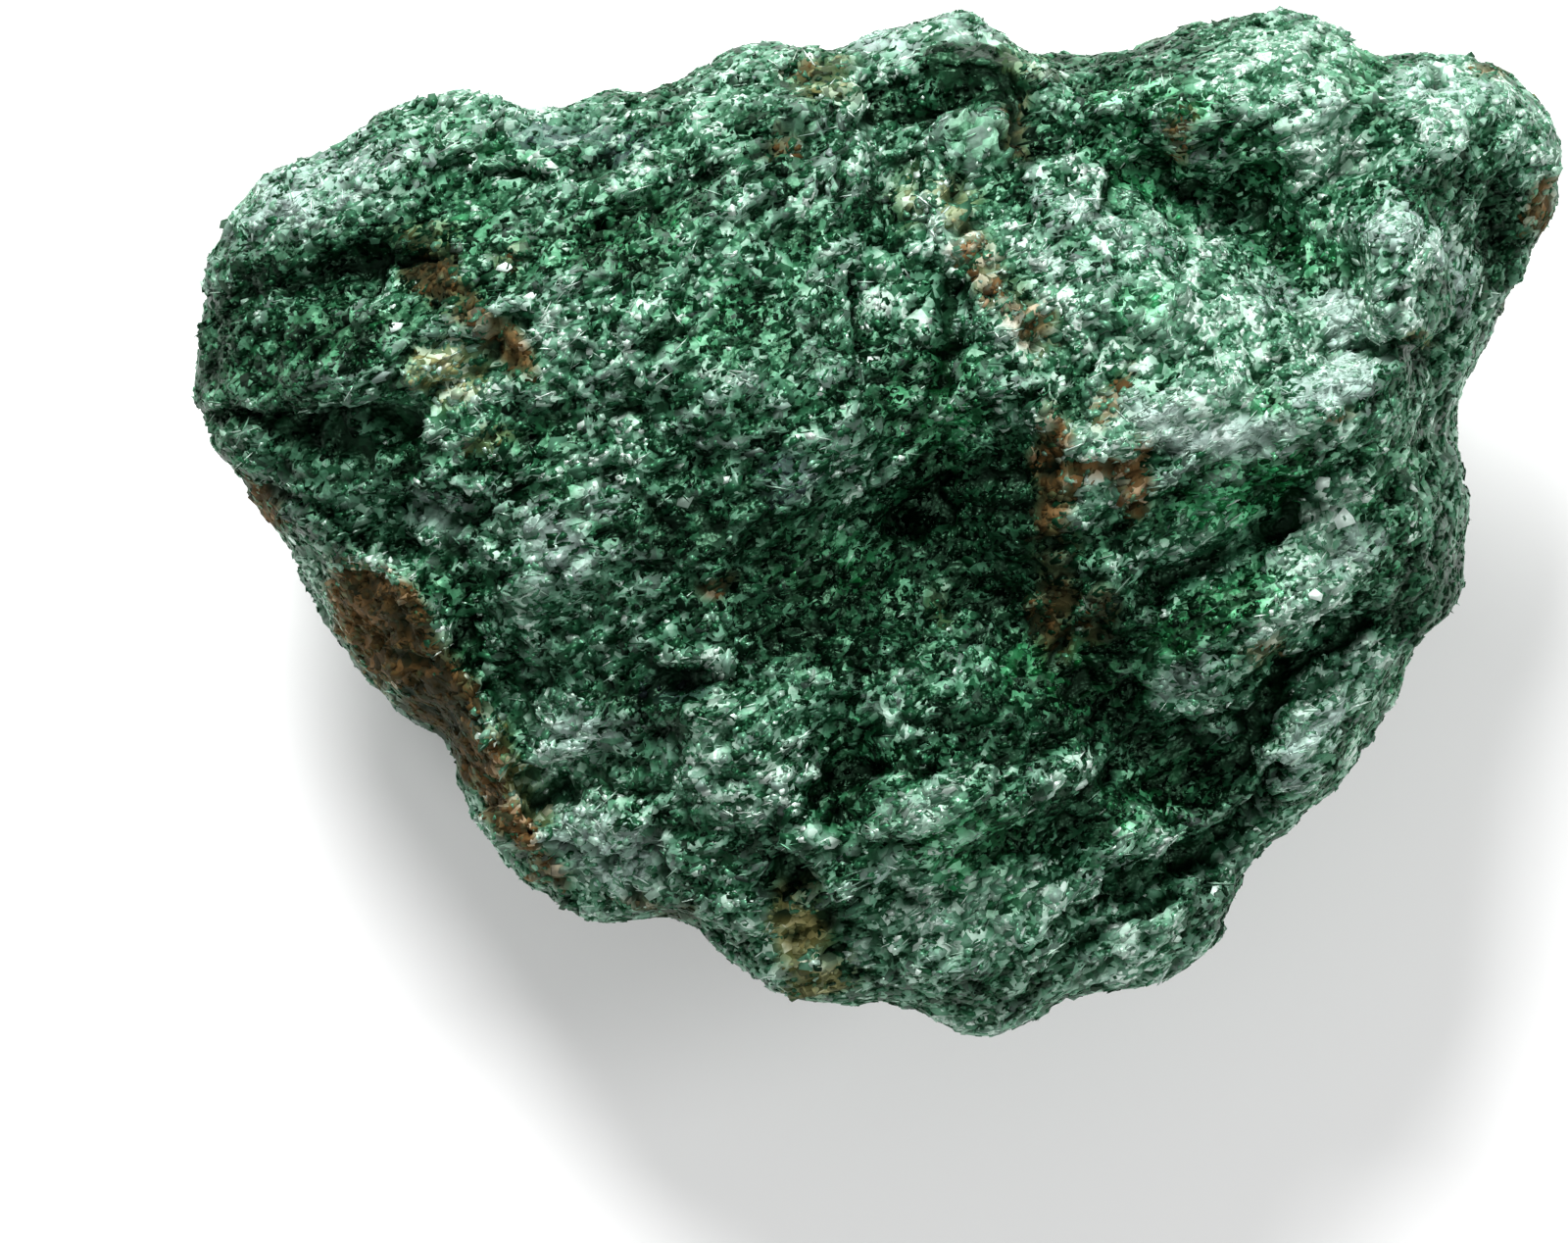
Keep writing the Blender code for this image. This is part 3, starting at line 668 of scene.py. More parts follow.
def lay_in_cells(count: int, sides: int) -> np.ndarray:
    """Give every flake a cell of the square: its top left, its sides right.

    Args:
        count: Number of flakes.
        sides: Corners of a flake's top.

    Returns:
        Place on the square of each face corner.
    """
    turn = np.arange(sides) * 2 * math.pi / sides
    ring = np.column_stack([np.cos(turn), np.sin(turn)])
    top_half, top_middle = TOP_IN_CELL
    fan_half, fan_middle = SIDES_IN_CELL
    fan = ring * fan_half + fan_middle
    places = [ring * top_half + top_middle]
    for index in range(sides):
        places.append(np.array([fan[(index + 1) % sides], fan[index], fan_middle]))
    cell = np.concatenate(places)
    columns = math.ceil(math.sqrt(count))
    number = np.arange(count)
    corner = np.column_stack([number % columns, number // columns])
    return ((corner[:, None, :] + cell[None, :, :]) / columns).reshape(-1, 2)


def new_mesh(name: str, points: np.ndarray, corners: np.ndarray, counts: np.ndarray) -> bpy.types.Mesh:
    """Make a mesh from arrays.

    Args:
        name: Name of the mesh.
        points: Places in millimetres.
        corners: Point numbers of all faces, one after the other.
        counts: Number of corners of each face.

    Returns:
        The mesh.
    """
    mesh = bpy.data.meshes.new(name)
    mesh.vertices.add(len(points))
    mesh.vertices.foreach_set("co", (points * MM).astype(np.float32).ravel())
    mesh.loops.add(len(corners))
    mesh.loops.foreach_set("vertex_index", corners.astype(np.int32))
    mesh.polygons.add(len(counts))
    starts = np.concatenate([[0], np.cumsum(counts)[:-1]])
    mesh.polygons.foreach_set("loop_start", starts.astype(np.int32))
    mesh.update(calc_edges=True)
    return mesh


@dataclass(frozen=True)
class Nodes:
    """The nodes of one material, with short ways to add to them."""

    tree: bpy.types.NodeTree

    def add(self, kind: str, **values: object) -> bpy.types.Node:
        """Add a node and set its plain values.

        Args:
            kind: Blender's name for the kind of node.
            values: Plain values of the node.

        Returns:
            The node.
        """
        made = self.tree.nodes.new(kind)
        for key, value in values.items():
            setattr(made, key, value)
        return made

    def feed(self, socket: bpy.types.NodeSocket, value: object) -> None:
        """Link a socket to another, or give it a number or a colour.

        Args:
            socket: Socket to feed.
            value: A socket, a number or a colour.
        """
        if isinstance(value, bpy.types.NodeSocket):
            self.tree.links.new(value, socket)
        elif isinstance(value, tuple):
            socket.default_value = (*value, 1.0)
        else:
            socket.default_value = value

    def mix(self, share: object, first: object, second: object,
            blend: str = "MIX") -> bpy.types.NodeSocket:
        """Mix two colours.

        Args:
            share: How much of the second colour shows.
            first: Colour or socket.
            second: Colour or socket.
            blend: Blender's name for the way of mixing.

        Returns:
            The socket of the outcome.
        """
        made = self.add("ShaderNodeMix", data_type="RGBA", blend_type=blend)
        for index, value in ((0, share), (6, first), (7, second)):
            self.feed(made.inputs[index], value)
        return made.outputs[2]

    def reckon(self, kind: str, first: object, second: object) -> bpy.types.NodeSocket:
        """Reckon with two values and keep the outcome between 0 and 1.

        Args:
            kind: Blender's name for the sum.
            first: Number or socket.
            second: Number or socket.

        Returns:
            The socket of the outcome.
        """
        made = self.add("ShaderNodeMath", operation=kind, use_clamp=True)
        self.feed(made.inputs[0], first)
        self.feed(made.inputs[1], second)
        return made.outputs[0]

    def look_up(self, stops: Ramp, value: bpy.types.NodeSocket) -> bpy.types.NodeSocket:
        """Look a value up in a row of colours.

        Args:
            stops: Places from 0 to 1 with their colours.
            value: Socket to look up.

        Returns:
            The socket of the colour.
        """
        made = self.add("ShaderNodeValToRGB")
        row = made.color_ramp.elements
        row.remove(row[1])
        for index, (place, colour) in enumerate(stops):
            stop = row[0] if index == 0 else row.new(place)
            stop.position = place
            stop.color = (*colour, 1.0)
        self.feed(made.inputs["Fac"], value)
        return made.outputs["Color"]

    def texture(self, kind: str, scale: float) -> bpy.types.Node:
        """Add a texture that is fixed to the stone.

        Args:
            kind: Blender's name for the texture's node.
            scale: Its cells in one metre.

        Returns:
            The node.
        """
        made = self.add(kind)
        made.inputs["Scale"].default_value = scale
        self.feed(made.inputs["Vector"], self.add("ShaderNodeTexCoord").outputs["Object"])
        return made

    def values(self, name: str) -> tuple[bpy.types.NodeSocket, ...]:
        """Read a mesh's values of one name.

        Args:
            name: Name of the values.

        Returns:
            Four sockets, one for each column.
        """
        read = self.add("ShaderNodeAttribute", attribute_name=name)
        return (*self.parted(read.outputs["Color"]), read.outputs["Alpha"])

    def parted(self, colour: bpy.types.NodeSocket) -> tuple[bpy.types.NodeSocket, ...]:
        """Part a colour into its red, green and blue.

        Args:
            colour: Socket of the colour.

        Returns:
            Three sockets.
        """
        parts = self.add("ShaderNodeSeparateColor")
        self.feed(parts.inputs[0], colour)
        return tuple(parts.outputs[index] for index in range(3))


@dataclass(frozen=True)
class MicaFinish:
    """Mica schist: greens by tint, with stains, frost and painted shade in hollows."""

    name: str
    metallic: float
    roughness: tuple[float, float]
    cell_share: float = 0.0
    bump: float = 0.0
    greens: Ramp = (
        (0.00, (0.000, 0.003, 0.001)),
        (0.25, (0.001, 0.017, 0.005)),
        (0.50, (0.013, 0.072, 0.032)),
        (0.70, (0.092, 0.232, 0.148)),
        (0.86, (0.340, 0.490, 0.400)),
        (1.00, (0.520, 0.625, 0.565)),
    )
    rusts: Ramp = (
        (0.00, (0.014, 0.006, 0.001)),
        (0.45, (0.058, 0.024, 0.005)),
        (0.75, (0.142, 0.068, 0.022)),
        (1.00, (0.400, 0.290, 0.180)),
    )
    ochres: Ramp = (
        (0.00, (0.008, 0.010, 0.003)),
        (0.45, (0.100, 0.085, 0.022)),
        (0.75, (0.290, 0.250, 0.100)),
        (1.00, (0.660, 0.660, 0.480)),
    )
    frost: Colour = (0.530, 0.640, 0.625)
    slate: Colour = (0.050, 0.066, 0.080)
    emerald: Colour = (0.22, 1.00, 0.50)
    # Painted shade: multiplied in by each point's share of shade in hollows, pits, cracks and deep
    # places
    shade: Colour = (0.04, 0.10, 0.06)
    gloss: Colour = (0.42, 0.96, 0.58)
    gloss_level: float = 0.32
    refraction: float = 1.50
    cells: float = 1500.0
    mottle: float = 900.0
    mottle_detail: float = 3.0
    mottle_share: float = 0.4
    blotch: float = 2.1
    rust_share: float = 0.97
    ochre_share: float = 0.80
    frost_share: float = 0.50
    slate_share: float = 0.80
    frost_dulls: float = 0.6
    grit: float = 2600.0
    grit_depth: float = 0.00012

    def make(self) -> bpy.types.Material:
        """Build the material and its nodes.

        Returns:
            The material.
        """
        material = bpy.data.materials.new(self.name)
        material.use_nodes = True
        nodes = Nodes(material.node_tree)
        shader = material.node_tree.nodes["Principled BSDF"]
        shader.inputs["Metallic"].default_value = self.metallic
        shader.inputs["IOR"].default_value = self.refraction
        shader.inputs["Specular IOR Level"].default_value = self.gloss_level
        shader.inputs["Specular Tint"].default_value = (*self.gloss, 1.0)
        stains = nodes.values("marks")
        nodes.feed(shader.inputs["Base Color"], self.colour(nodes, stains))
        nodes.feed(shader.inputs["Roughness"], self.dullness(nodes, stains))
        if self.bump:
            nodes.feed(shader.inputs["Normal"], self.grit_bump(nodes))
        return material

    def colour(self, nodes: Nodes, stains: tuple[bpy.types.NodeSocket, ...]) -> bpy.types.NodeSocket:
        """Add the nodes of the colour.

        Args:
            nodes: The material's nodes.
            stains: Rust, ochre, frost and slate.

        Returns:
            The colour's socket.
        """
        rust, ochre, frost, slate = stains
        tint, hollow, clear, _ = nodes.values("grain")
        mottle = nodes.texture("ShaderNodeTexNoise", self.mottle)
        mottle.inputs["Detail"].default_value = self.mottle_detail
        if self.cell_share:
            cells = nodes.texture("ShaderNodeTexVoronoi", self.cells)
            single = nodes.reckon("MULTIPLY", nodes.parted(cells.outputs["Color"])[0], self.cell_share)
            tint = nodes.reckon("ADD", single, nodes.reckon("MULTIPLY", tint, 1.0 - self.cell_share))
        uneven = nodes.reckon("SUBTRACT", mottle.outputs["Fac"], 0.5)
        tint = nodes.reckon("ADD", tint, nodes.reckon("MULTIPLY", uneven, self.mottle_share))
        colour = nodes.mix(clear, nodes.look_up(self.greens, tint), self.emerald, "MULTIPLY")
        colour = nodes.mix(nodes.reckon("MULTIPLY", slate, self.slate_share), colour, self.slate)
        blotch = nodes.reckon("MULTIPLY", mottle.outputs["Fac"], self.blotch)
        for mark, share, stain in (
            (frost, self.frost_share, self.frost),
            (ochre, self.ochre_share, nodes.look_up(self.ochres, tint)),
            (rust, self.rust_share, nodes.look_up(self.rusts, tint)),
        ):
            cover = nodes.reckon("MULTIPLY", mark, nodes.reckon("MULTIPLY", blotch, share))
            colour = nodes.mix(cover, colour, stain)
        # Painted shade: the shade colour multiplied in where hollows, pits and cracks lie
        return nodes.mix(hollow, colour, self.shade, "MULTIPLY")

    def dullness(self, nodes: Nodes, stains: tuple[bpy.types.NodeSocket, ...]) -> bpy.types.NodeSocket:
        """Add the nodes that make stained and frosted places duller.

        Args:
            nodes: The material's nodes.
            stains: Rust, ochre, frost and slate.

        Returns:
            The roughness's socket.
        """
        rust, ochre, frost, _ = stains
        earth = nodes.reckon("ADD", ochre, nodes.reckon("MULTIPLY", frost, self.frost_dulls))
        span = nodes.add("ShaderNodeMapRange")
        span.inputs["To Min"].default_value, span.inputs["To Max"].default_value = self.roughness
        nodes.feed(span.inputs["Value"], nodes.reckon("ADD", rust, earth))
        return span.outputs[0]

    def grit_bump(self, nodes: Nodes) -> bpy.types.NodeSocket:
        """Add the nodes of the finest grain.

        Args:
            nodes: The material's nodes.

        Returns:
            The socket of the roughened surface.
        """
        grit = nodes.texture("ShaderNodeTexVoronoi", self.grit)
        bump = nodes.add("ShaderNodeBump")
        bump.inputs["Strength"].default_value = self.bump
        bump.inputs["Distance"].default_value = self.grit_depth
        nodes.feed(bump.inputs["Height"], grit.outputs["Distance"])
        return bump.outputs[0]


@dataclass(frozen=True)
class Crest:
    """How places that stand out are told from hollows, at one scale."""

    rounds: int
    height: float
    weight: float

    def of(self, raised: np.ndarray) -> np.ndarray:
        """Return the weighed share, below 0 in hollows, of heights over the even form."""
        return np.clip(raised / self.height, -1.0, 1.0) * self.weight


@dataclass(frozen=True)
class Weights:
    """How much hollows, pits, cracks and one kind of mark count."""

    hollow: float
    pit: float
    crack: float
    mark: float

    def total(self, hollow: np.ndarray, pit: np.ndarray, crack: np.ndarray,
              mark: np.ndarray) -> np.ndarray:
        """Return the weighed sum of the four shares of each place."""
        return self.hollow * hollow + self.pit * pit + self.crack * crack + self.mark * mark


@dataclass
class StoneSkin:
    """The broken surface of the stone."""

    voxel: float = 0.46
    even_rounds: int = 6
    settle: float = 0.22
    rim_share: float = 0.45
    rim_slopes: tuple[float, float] = (0.10, 0.60)
    face_slopes: tuple[float, float] = (-0.25, 0.15)
    face_heights: tuple[float, float] = (11.0, 17.0)
    swells: tuple[Bumps, ...] = (Bumps(0.26, 4.2), Bumps(0.20, 1.7, 31.0))
    # Chips: width, height, lean and seed, in a form pressed flat along the layers
    chips: tuple[tuple[float, float, float, int], ...] = (
        (3.4, 0.34, 0.9, 45),
        (1.6, 0.24, 0.9, 27),
    )
    chip_stretch: tuple[float, float] = (0.75, 1.50)
    chip_waver: Bumps = Bumps(0.5, 2.6)
    layer_pitch: float = 1.3
    layer_height: float = 0.24
    layer_edge: tuple[float, float] = (0.7, 1.0)
    layer_waver: Bumps = Bumps(1.6, 8.0)
    layer_side_gain: float = 0.8
    layered: Region = Region(-0.30, 0.40, (Bumps(1.0, 9.0, 77.0),))
    crack_waver: tuple[Bumps, Bumps] = (Bumps(0.35, 1.6, 5.0), Bumps(0.35, 1.6, 9.0))
    crack_depths: tuple[float, float] = (0.25, 0.90)
    pit_depth: float = 0.65
    pit_places: Region = Region(-0.45, 0.35, (Bumps(1.0, 8.0),))
    single_pits: Region = Region(0.22, 0.50, (Bumps(1.0, 1.7, 3.0),))
    crests: tuple[Crest, Crest] = (Crest(60, 0.8, 0.7), Crest(14, 0.3, 0.5))
    patch_waver: tuple[Bumps, Bumps] = (Bumps(0.9, 2.2), Bumps(0.9, 2.2, 13.0))
    rime: Region = Region(0.05, 0.75, (Bumps(0.35, 3.0, 20.0),))
    rime_strength: float = 0.40
    clear: Region = Region(0.05, 0.55, (Bumps(1.0, 9.0, 60.0),))
    clear_strength: tuple[float, float] = (0.35, 0.25)
    # Marks of the back and the sides
    back_marks: tuple[tuple[Mark, float, Region], ...] = (
        (Mark.RUST, 0.7, Region(0.30, 0.62, (Bumps(1.0, 15.0, 50.0), Bumps(0.3, 4.0)))),
        (Mark.OCHRE, 0.6, Region(0.32, 0.62, (Bumps(1.0, 13.0, 90.0), Bumps(0.3, 4.0)))),
        (Mark.DEEP_AND_SHADE, 0.6, Region(0.15, 0.60, (Bumps(1.0, 11.0, 71.0),))),
    )
    tint_middle: float = 0.49
    tint_bumps: tuple[Bumps, ...] = (Bumps(0.25, 7.0), Bumps(0.32, 2.4), Bumps(0.36, 1.2))
    # Paler on raised places, and darker in hollows as painted shade
    tint_crest: float = 0.20
    # Deep places darker and pale places paler, partly painted shade and painted light
    tint_marks: tuple[tuple[Mark, float], ...] = (
        (Mark.DEEP_AND_SHADE, -0.35),
        (Mark.PALE_AND_LIT, 0.30),
        (Mark.FROST, 0.10),
    )
    # Painted shade: darker in hollows, pits and cracks, and in the deep places
    shaded_hollows: tuple[float, float] = (0.0, 0.9)
    shade_and_deep_weights: Weights = Weights(hollow=0.8, pit=0.6, crack=0.5, mark=0.45)
    bare_hollows: tuple[float, float] = (0.2, 1.0)
    bareness: Weights = Weights(hollow=0.4, pit=0.9, crack=0.5, mark=0.2)
    most_bare: float = 0.94
    relief_seed: int = 11
    pit_seed: int = 31
    mark_seed: int = 51
    tint_seed: int = 71
    shell: Shell = field(init=False)
    grain: np.ndarray = field(init=False)
    marks: np.ndarray = field(init=False)
    bare: np.ndarray = field(init=False)
    cracks: np.ndarray = field(init=False)

    def pits(self, points: np.ndarray) -> np.ndarray:
        """Share from 0 to 1 by which each place lies in one of the small pits.

        Args:
            points: Places on the even form.

        Returns:
            One share for each place.
        """
        noise = Noise(self.pit_seed)
        return self.single_pits.share_at(noise, points) * self.pit_places.share_at(noise, points)

    def layers(self, noise: Noise, points: np.ndarray) -> np.ndarray:
        """Height of the steps that the stone's thin layers leave.

        Args:
            noise: Noise that makes the layers waver.
            points: Places on the even form.

        Returns:
            Heights of about -1 to 1.
        """
        layer = (points @ LAYER_NORMAL + self.layer_waver.at(noise, points)) / self.layer_pitch
        number = np.floor(layer).astype(int)
        share = smooth_step(*self.layer_edge, layer - number)
        steps = np.random.default_rng(self.relief_seed).uniform(-1.0, 1.0, NOISE_KEYS)
        return steps[number % NOISE_KEYS] * (1.0 - share) + steps[(number + 1) % NOISE_KEYS] * share

    def relief(self, points: np.ndarray, up: np.ndarray) -> np.ndarray:
        """Height of the grain, the layers and the cracks over the even form.

        Args:
            points: Places on the even form.
            up: Share by which each place belongs to the broad face.

        Returns:
            Heights in millimetres.
        """
        noise = Noise(self.relief_seed)
        across = (points @ LAYER_NORMAL)[:, None] * LAYER_NORMAL
        flat_share, thick_share = self.chip_stretch
        pressed = (points - across) * flat_share + across * thick_share
        pressed = pressed + self.chip_waver.at(noise, points)[:, None]
        height = sum(bumps.at(noise, points) for bumps in self.swells)
        for cell, amount, tilt, seed in self.chips:
            height += amount * Noise(seed).chips(pressed, cell, tilt)
        layer_height = self.layer_height * (1.0 + self.layer_side_gain * (1.0 - up))
        height += layer_height * self.layers(noise, points) * self.layered.share_at(noise, points)
        x = points[:, 0] + FACE_CENTRE[0] + self.crack_waver[0].at(noise, points)
        y = points[:, 1] + FACE_CENTRE[1] + self.crack_waver[1].at(noise, points)
        self.cracks = sum(crack.depth_at(x, y) for crack in CRACKS) * up
        return height - self.cracks - self.pit_depth * self.pits(points) - self.settle

    def read_marks(self, points: np.ndarray, crest: np.ndarray, up: np.ndarray) -> np.ndarray:
        """Work out the stains, the frost and the other marks.

        Args:
            points: Places on the stone.
            crest: How far each place stands out from those round it.
            up: Share by which each place belongs to the broad face.

        Returns:
            Every mark of each point, none below 0.
        """
        noise = Noise(self.mark_seed)
        x = points[:, 0] + FACE_CENTRE[0] + self.patch_waver[0].at(noise, points)
        y = points[:, 1] + FACE_CENTRE[1] + self.patch_waver[1].at(noise, points)
        marks = np.zeros((len(points), len(Mark)))
        for mark, patches in PATCHES.items():
            column = marks[:, mark.value]
            for patch in patches:
                np.maximum(column, patch.strength_at(x, y) * up, out=column)
        below = 1.0 - up
        rime = self.rime_strength * self.rime.share_at(noise, points, crest)
        frost = marks[:, Mark.FROST.value] + rime * (1.0 - marks[:, Mark.DEEP_AND_SHADE.value])
        marks[:, Mark.FROST.value] = np.clip(frost, 0.0, 1.0)
        face_share, back_gain = self.clear_strength
        clear = self.clear.share_at(noise, points) * (face_share + back_gain * below)
        clear = clear * (1.0 - marks[:, Mark.FROST.value])
        marks[:, Mark.EMERALD.value] = np.maximum(marks[:, Mark.EMERALD.value], clear)
        for mark, strength, region in self.back_marks:
            share = strength * region.share_at(noise, points) * below
            marks[:, mark.value] = np.maximum(marks[:, mark.value], share)
        return marks

    def shape(self) -> None:
        """Work out the shell, the grain and the marks."""
        shell = Shell.around(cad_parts[NODE], self.voxel)
        log.info("skin: %d faces", len(shell.quads))
        shell.points = shell.spread(shell.points, self.even_rounds)
        normals = shell.normals()
        even = shell.points
        up = smooth_step(*self.face_slopes, normals[:, 2]) * smooth_step(*self.face_heights, even[:, 2])
        facing = smooth_step(*self.rim_slopes, np.abs(normals[:, 2]))
        height = self.relief(even, up) * (self.rim_share + (1.0 - self.rim_share) * facing)
        wide, fine = self.crests
        crest = wide.of(np.sum((even - shell.spread(even, wide.rounds)) * normals, axis=1))
        crest = crest + fine.of(height - shell.spread(height, fine.rounds))
        self.marks = self.read_marks(even, crest, up)
        shell.points = even + normals * height[:, None]
        shell.points[:, 2] = np.maximum(shell.points[:, 2], 0.0)
        self.shell = shell
        self.grade(even, crest)

    def grade(self, even: np.ndarray, crest: np.ndarray) -> None:
        """Work out each point's tint, its painted shade and where no flakes lie.

        Args:
            even: Places on the even form.
            crest: How far each place stands out from those round it.
        """
        noise = Noise(self.tint_seed)
        tint = self.tint_middle + self.tint_crest * crest
        for bumps in self.tint_bumps:
            tint = tint + bumps.at(noise, self.shell.points)
        for mark, weight in self.tint_marks:
            tint = tint + weight * self.marks[:, mark.value]
        pits = self.pits(even)
        cracked = smooth_step(*self.crack_depths, self.cracks)
        deep = self.marks[:, Mark.DEEP_AND_SHADE.value]
        # Painted shade of hollows, pits and cracks, with the darker deep places
        shade_and_deep = self.shade_and_deep_weights.total(smooth_step(*self.shaded_hollows, -crest), pits, cracked, deep)
        self.grain = np.column_stack([np.clip(tint, 0.0, 1.0), np.clip(shade_and_deep, 0.0, 1.0)])
        earth = np.maximum(self.marks[:, Mark.RUST.value], self.marks[:, Mark.OCHRE.value])
        bare = self.bareness.total(smooth_step(*self.bare_hollows, -crest), pits, cracked, earth)
        self.bare = np.clip(bare + self.marks[:, Mark.SMOOTH.value], 0.0, self.most_bare)

    def build(self) -> bpy.types.Object:
        """Make the skin's object and dress it.

        Returns:
            The finished piece.
        """
        quads = self.shell.quads
        mesh = new_mesh("stone_skin", self.shell.points, quads.ravel(), np.full(len(quads), 4))
        add_map(mesh, unfold_octants(self.shell.points, quads))
        add_attributes(mesh, self.grain, self.marks)
        skin = bpy.data.objects.new("stone_skin", mesh)
        bpy.context.scene.collection.objects.link(skin)
        finish = MicaFinish("mica_schist_ground", 0.0, (0.38, 0.85), cell_share=0.55, bump=0.6)
        mesh.materials.append(finish.make())
        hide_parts(NODE)
        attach(skin, BODY)
        return skin


@dataclass
class FlakeLayer:
    """Small flat mica flakes that lie in the skin."""

    name: str
    count: int
    size: tuple[float, float]
    stretch: tuple[float, float]
    tilt: float
    lift: tuple[float, float]
    tints: tuple[float, float]
    finish: MicaFinish
    seed: int
    frost_share: float = 0.0
    earth_share: float = 1.0
    spots: tuple[tuple[float, float, float], ...] = ()
    sides: int = 5
    # Where flakes lie: none at the floor, and fewer below the broad face
    floor_heights: tuple[float, float] = (0.7, 1.5)
    side_heights: tuple[float, float] = (14.0, 20.0)
    side_share: float = 0.55
    facing_rounds: int = 3
    # Form: more small flakes than large ones, smaller and calmer on the sides
    size_spread: tuple[float, float] = (1.6, 4.0)
    calm_slopes: tuple[float, float] = (0.15, 0.60)
    least_calm: float = 0.45
    least_size: float = 0.55
    disorder: float = 0.35
    corner_turn: float = 0.3
    corner_reach: tuple[float, float] = (0.75, 1.20)
    root_depth: float = 0.25
    root_share: float = 0.6
    lowest: float = 0.02
    # Coat: frost and earth press flakes flat and even out their tint
    frost_coat: float = 0.5
    earth_coat: float = 0.3
    pale_coat: float = 0.3
    most_coat: float = 0.6
    coat_tint: tuple[float, float] = (0.52, 0.10)
    tint_spread: tuple[float, float] = (1.1, 2.0)
    ground_share: float = 0.95
    frost_tint: float = 0.12
    clear_tint: float = -0.12
    # A share of flakes painted paler, as painted glints
    painted_spark_share: float = 0.12
    painted_spark_tint: float = 0.22
    # Share of the skin's painted shade that a flake takes
    shade_and_deep_shares: tuple[float, float] = (0.3, 0.9)
    mark_edge: float = 0.5

    def at_spots(self, middle: np.ndarray, facing: np.ndarray) -> np.ndarray:
        """Find the faces of the broad side that lie at the chosen spots.

        Args:
            middle: Middle of each face of the shell.
            facing: Outward direction there.

        Returns:
            One face for each spot.
        """
        chosen = []
        for x, y, _ in self.spots:
            apart = np.hypot(middle[:, 0] + FACE_CENTRE[0] - x, middle[:, 1] + FACE_CENTRE[1] - y)
            chosen.append(np.argmin(np.where(facing[:, 2] > BROAD_FACING, apart, np.inf)))
        return np.array(chosen)

    def place(self, skin: StoneSkin) -> tuple[np.ndarray, np.ndarray, np.ndarray]:
        """Choose where the flakes lie.

        Args:
            skin: The skin to lie in.

        Returns:
            The corner of the shell at each flake, its place and the outward direction there.
        """
        random = np.random.default_rng(self.seed)
        shell = skin.shell
        corners = shell.points[shell.quads]
        diagonals = corners[:, 2:] - corners[:, :2]
        area = np.linalg.norm(np.cross(diagonals[:, 0], diagonals[:, 1]), axis=1)
        middle = corners.mean(axis=1)
        share = area * smooth_step(*self.floor_heights, middle[:, 2])
        above = smooth_step(*self.side_heights, middle[:, 2])
        share *= self.side_share + (1.0 - self.side_share) * above
        share *= 1.0 - skin.bare[shell.quads[:, 0]]
        marks = np.clip(skin.marks[shell.quads[:, 0]], 0.0, 1.0)
        share *= 1.0 - self.frost_share * (1.0 - marks[:, Mark.FROST.value])
        earth = np.maximum(marks[:, Mark.RUST.value], marks[:, Mark.OCHRE.value])
        share *= 1.0 - (1.0 - self.earth_share) * earth
        facing = shell.spread(shell.normals(), self.facing_rounds)
        if self.spots:
            chosen = self.at_spots(middle, facing[shell.quads[:, 0]])
        else:
            chosen = random.choice(len(area), self.count, p=share / share.sum())
        u, v = random.uniform(0.0, 1.0, (2, self.count, 1))
        corner = corners[chosen]
        places = (corner[:, 0] * (1 - u) + corner[:, 1] * u) * (1 - v)
        places += (corner[:, 3] * (1 - u) + corner[:, 2] * u) * v
        point = shell.quads[chosen, 0]
        facing = facing[point]
        facing /= np.linalg.norm(facing, axis=1, keepdims=True)
        return point, places, facing

    def outline(self, random: np.random.Generator, places: np.ndarray, facing: np.ndarray,
                coat: np.ndarray) -> np.ndarray:
        """Work out the corners of every flake.

        Args:
            random: Source of the flakes' differences.
            places: Where the flakes lie.
            facing: Outward direction there.
            coat: Share by which each flake is pressed flat.

        Returns:
            The corners of each flake's top, and its root below them.
        """
        count = self.count
        sides = self.sides
        calm = smooth_step(*self.calm_slopes, np.abs(facing[:, 2:]))
        calm = self.least_calm + (1.0 - self.least_calm) * calm
        tilt = random.normal(size=(count, 3)) * math.tan(math.radians(self.tilt)) * calm
        normal = facing + tilt * (1.0 - coat[:, None])
        normal /= np.linalg.norm(normal, axis=1, keepdims=True)
        grain_line = np.cross(np.broadcast_to(LAYER_NORMAL, normal.shape), normal)
        grain_line += self.disorder * random.normal(size=(count, 3))
        grain_line -= normal * np.sum(grain_line * normal, axis=1, keepdims=True)
        grain_line /= np.linalg.norm(grain_line, axis=1, keepdims=True)
        across = np.cross(normal, grain_line)
        low, high = self.size
        size = low + (high - low) * random.beta(*self.size_spread, (count, 1))
        size *= self.least_size + (1.0 - self.least_size) * calm
        if self.spots:
            size = np.array(self.spots)[:, 2:]
        lift = random.uniform(*self.lift, (count, 1))
        turn = np.arange(sides) + random.uniform(-self.corner_turn, self.corner_turn, (count, sides))
        turn = turn * 2 * math.pi / sides
        reach = 0.5 * size * random.uniform(*self.corner_reach, (count, sides))
        stretch = random.uniform(*self.stretch, (count, 1))
        along = (np.cos(turn) * reach * stretch)[:, :, None]
        side = (np.sin(turn) * reach / np.sqrt(stretch))[:, :, None]
        centre = (places + facing * lift)[:, None, :]
        rim = centre + along * grain_line[:, None, :] + side * across[:, None, :]
        root = centre - normal[:, None, :] * (self.root_depth + self.root_share * size)[:, :, None]
        points = np.concatenate([rim, root], axis=1)
        points[:, :, 2] = np.maximum(points[:, :, 2], self.lowest)
        return points

    def faces(self) -> tuple[np.ndarray, np.ndarray]:
        """Join the corners of every flake to faces.

        Returns:
            Point numbers of all faces, one after the other, and each face's number of corners.
        """
        first = (np.arange(self.count) * (self.sides + 1))[:, None]
        faces = [first + np.arange(self.sides)]
        for index in range(self.sides):
            after = (index + 1) % self.sides
            faces.append(np.column_stack([first + after, first + index, first + self.sides]))
        counts = np.tile([self.sides] + [3] * self.sides, self.count)
        return np.concatenate(faces, axis=1).ravel(), counts

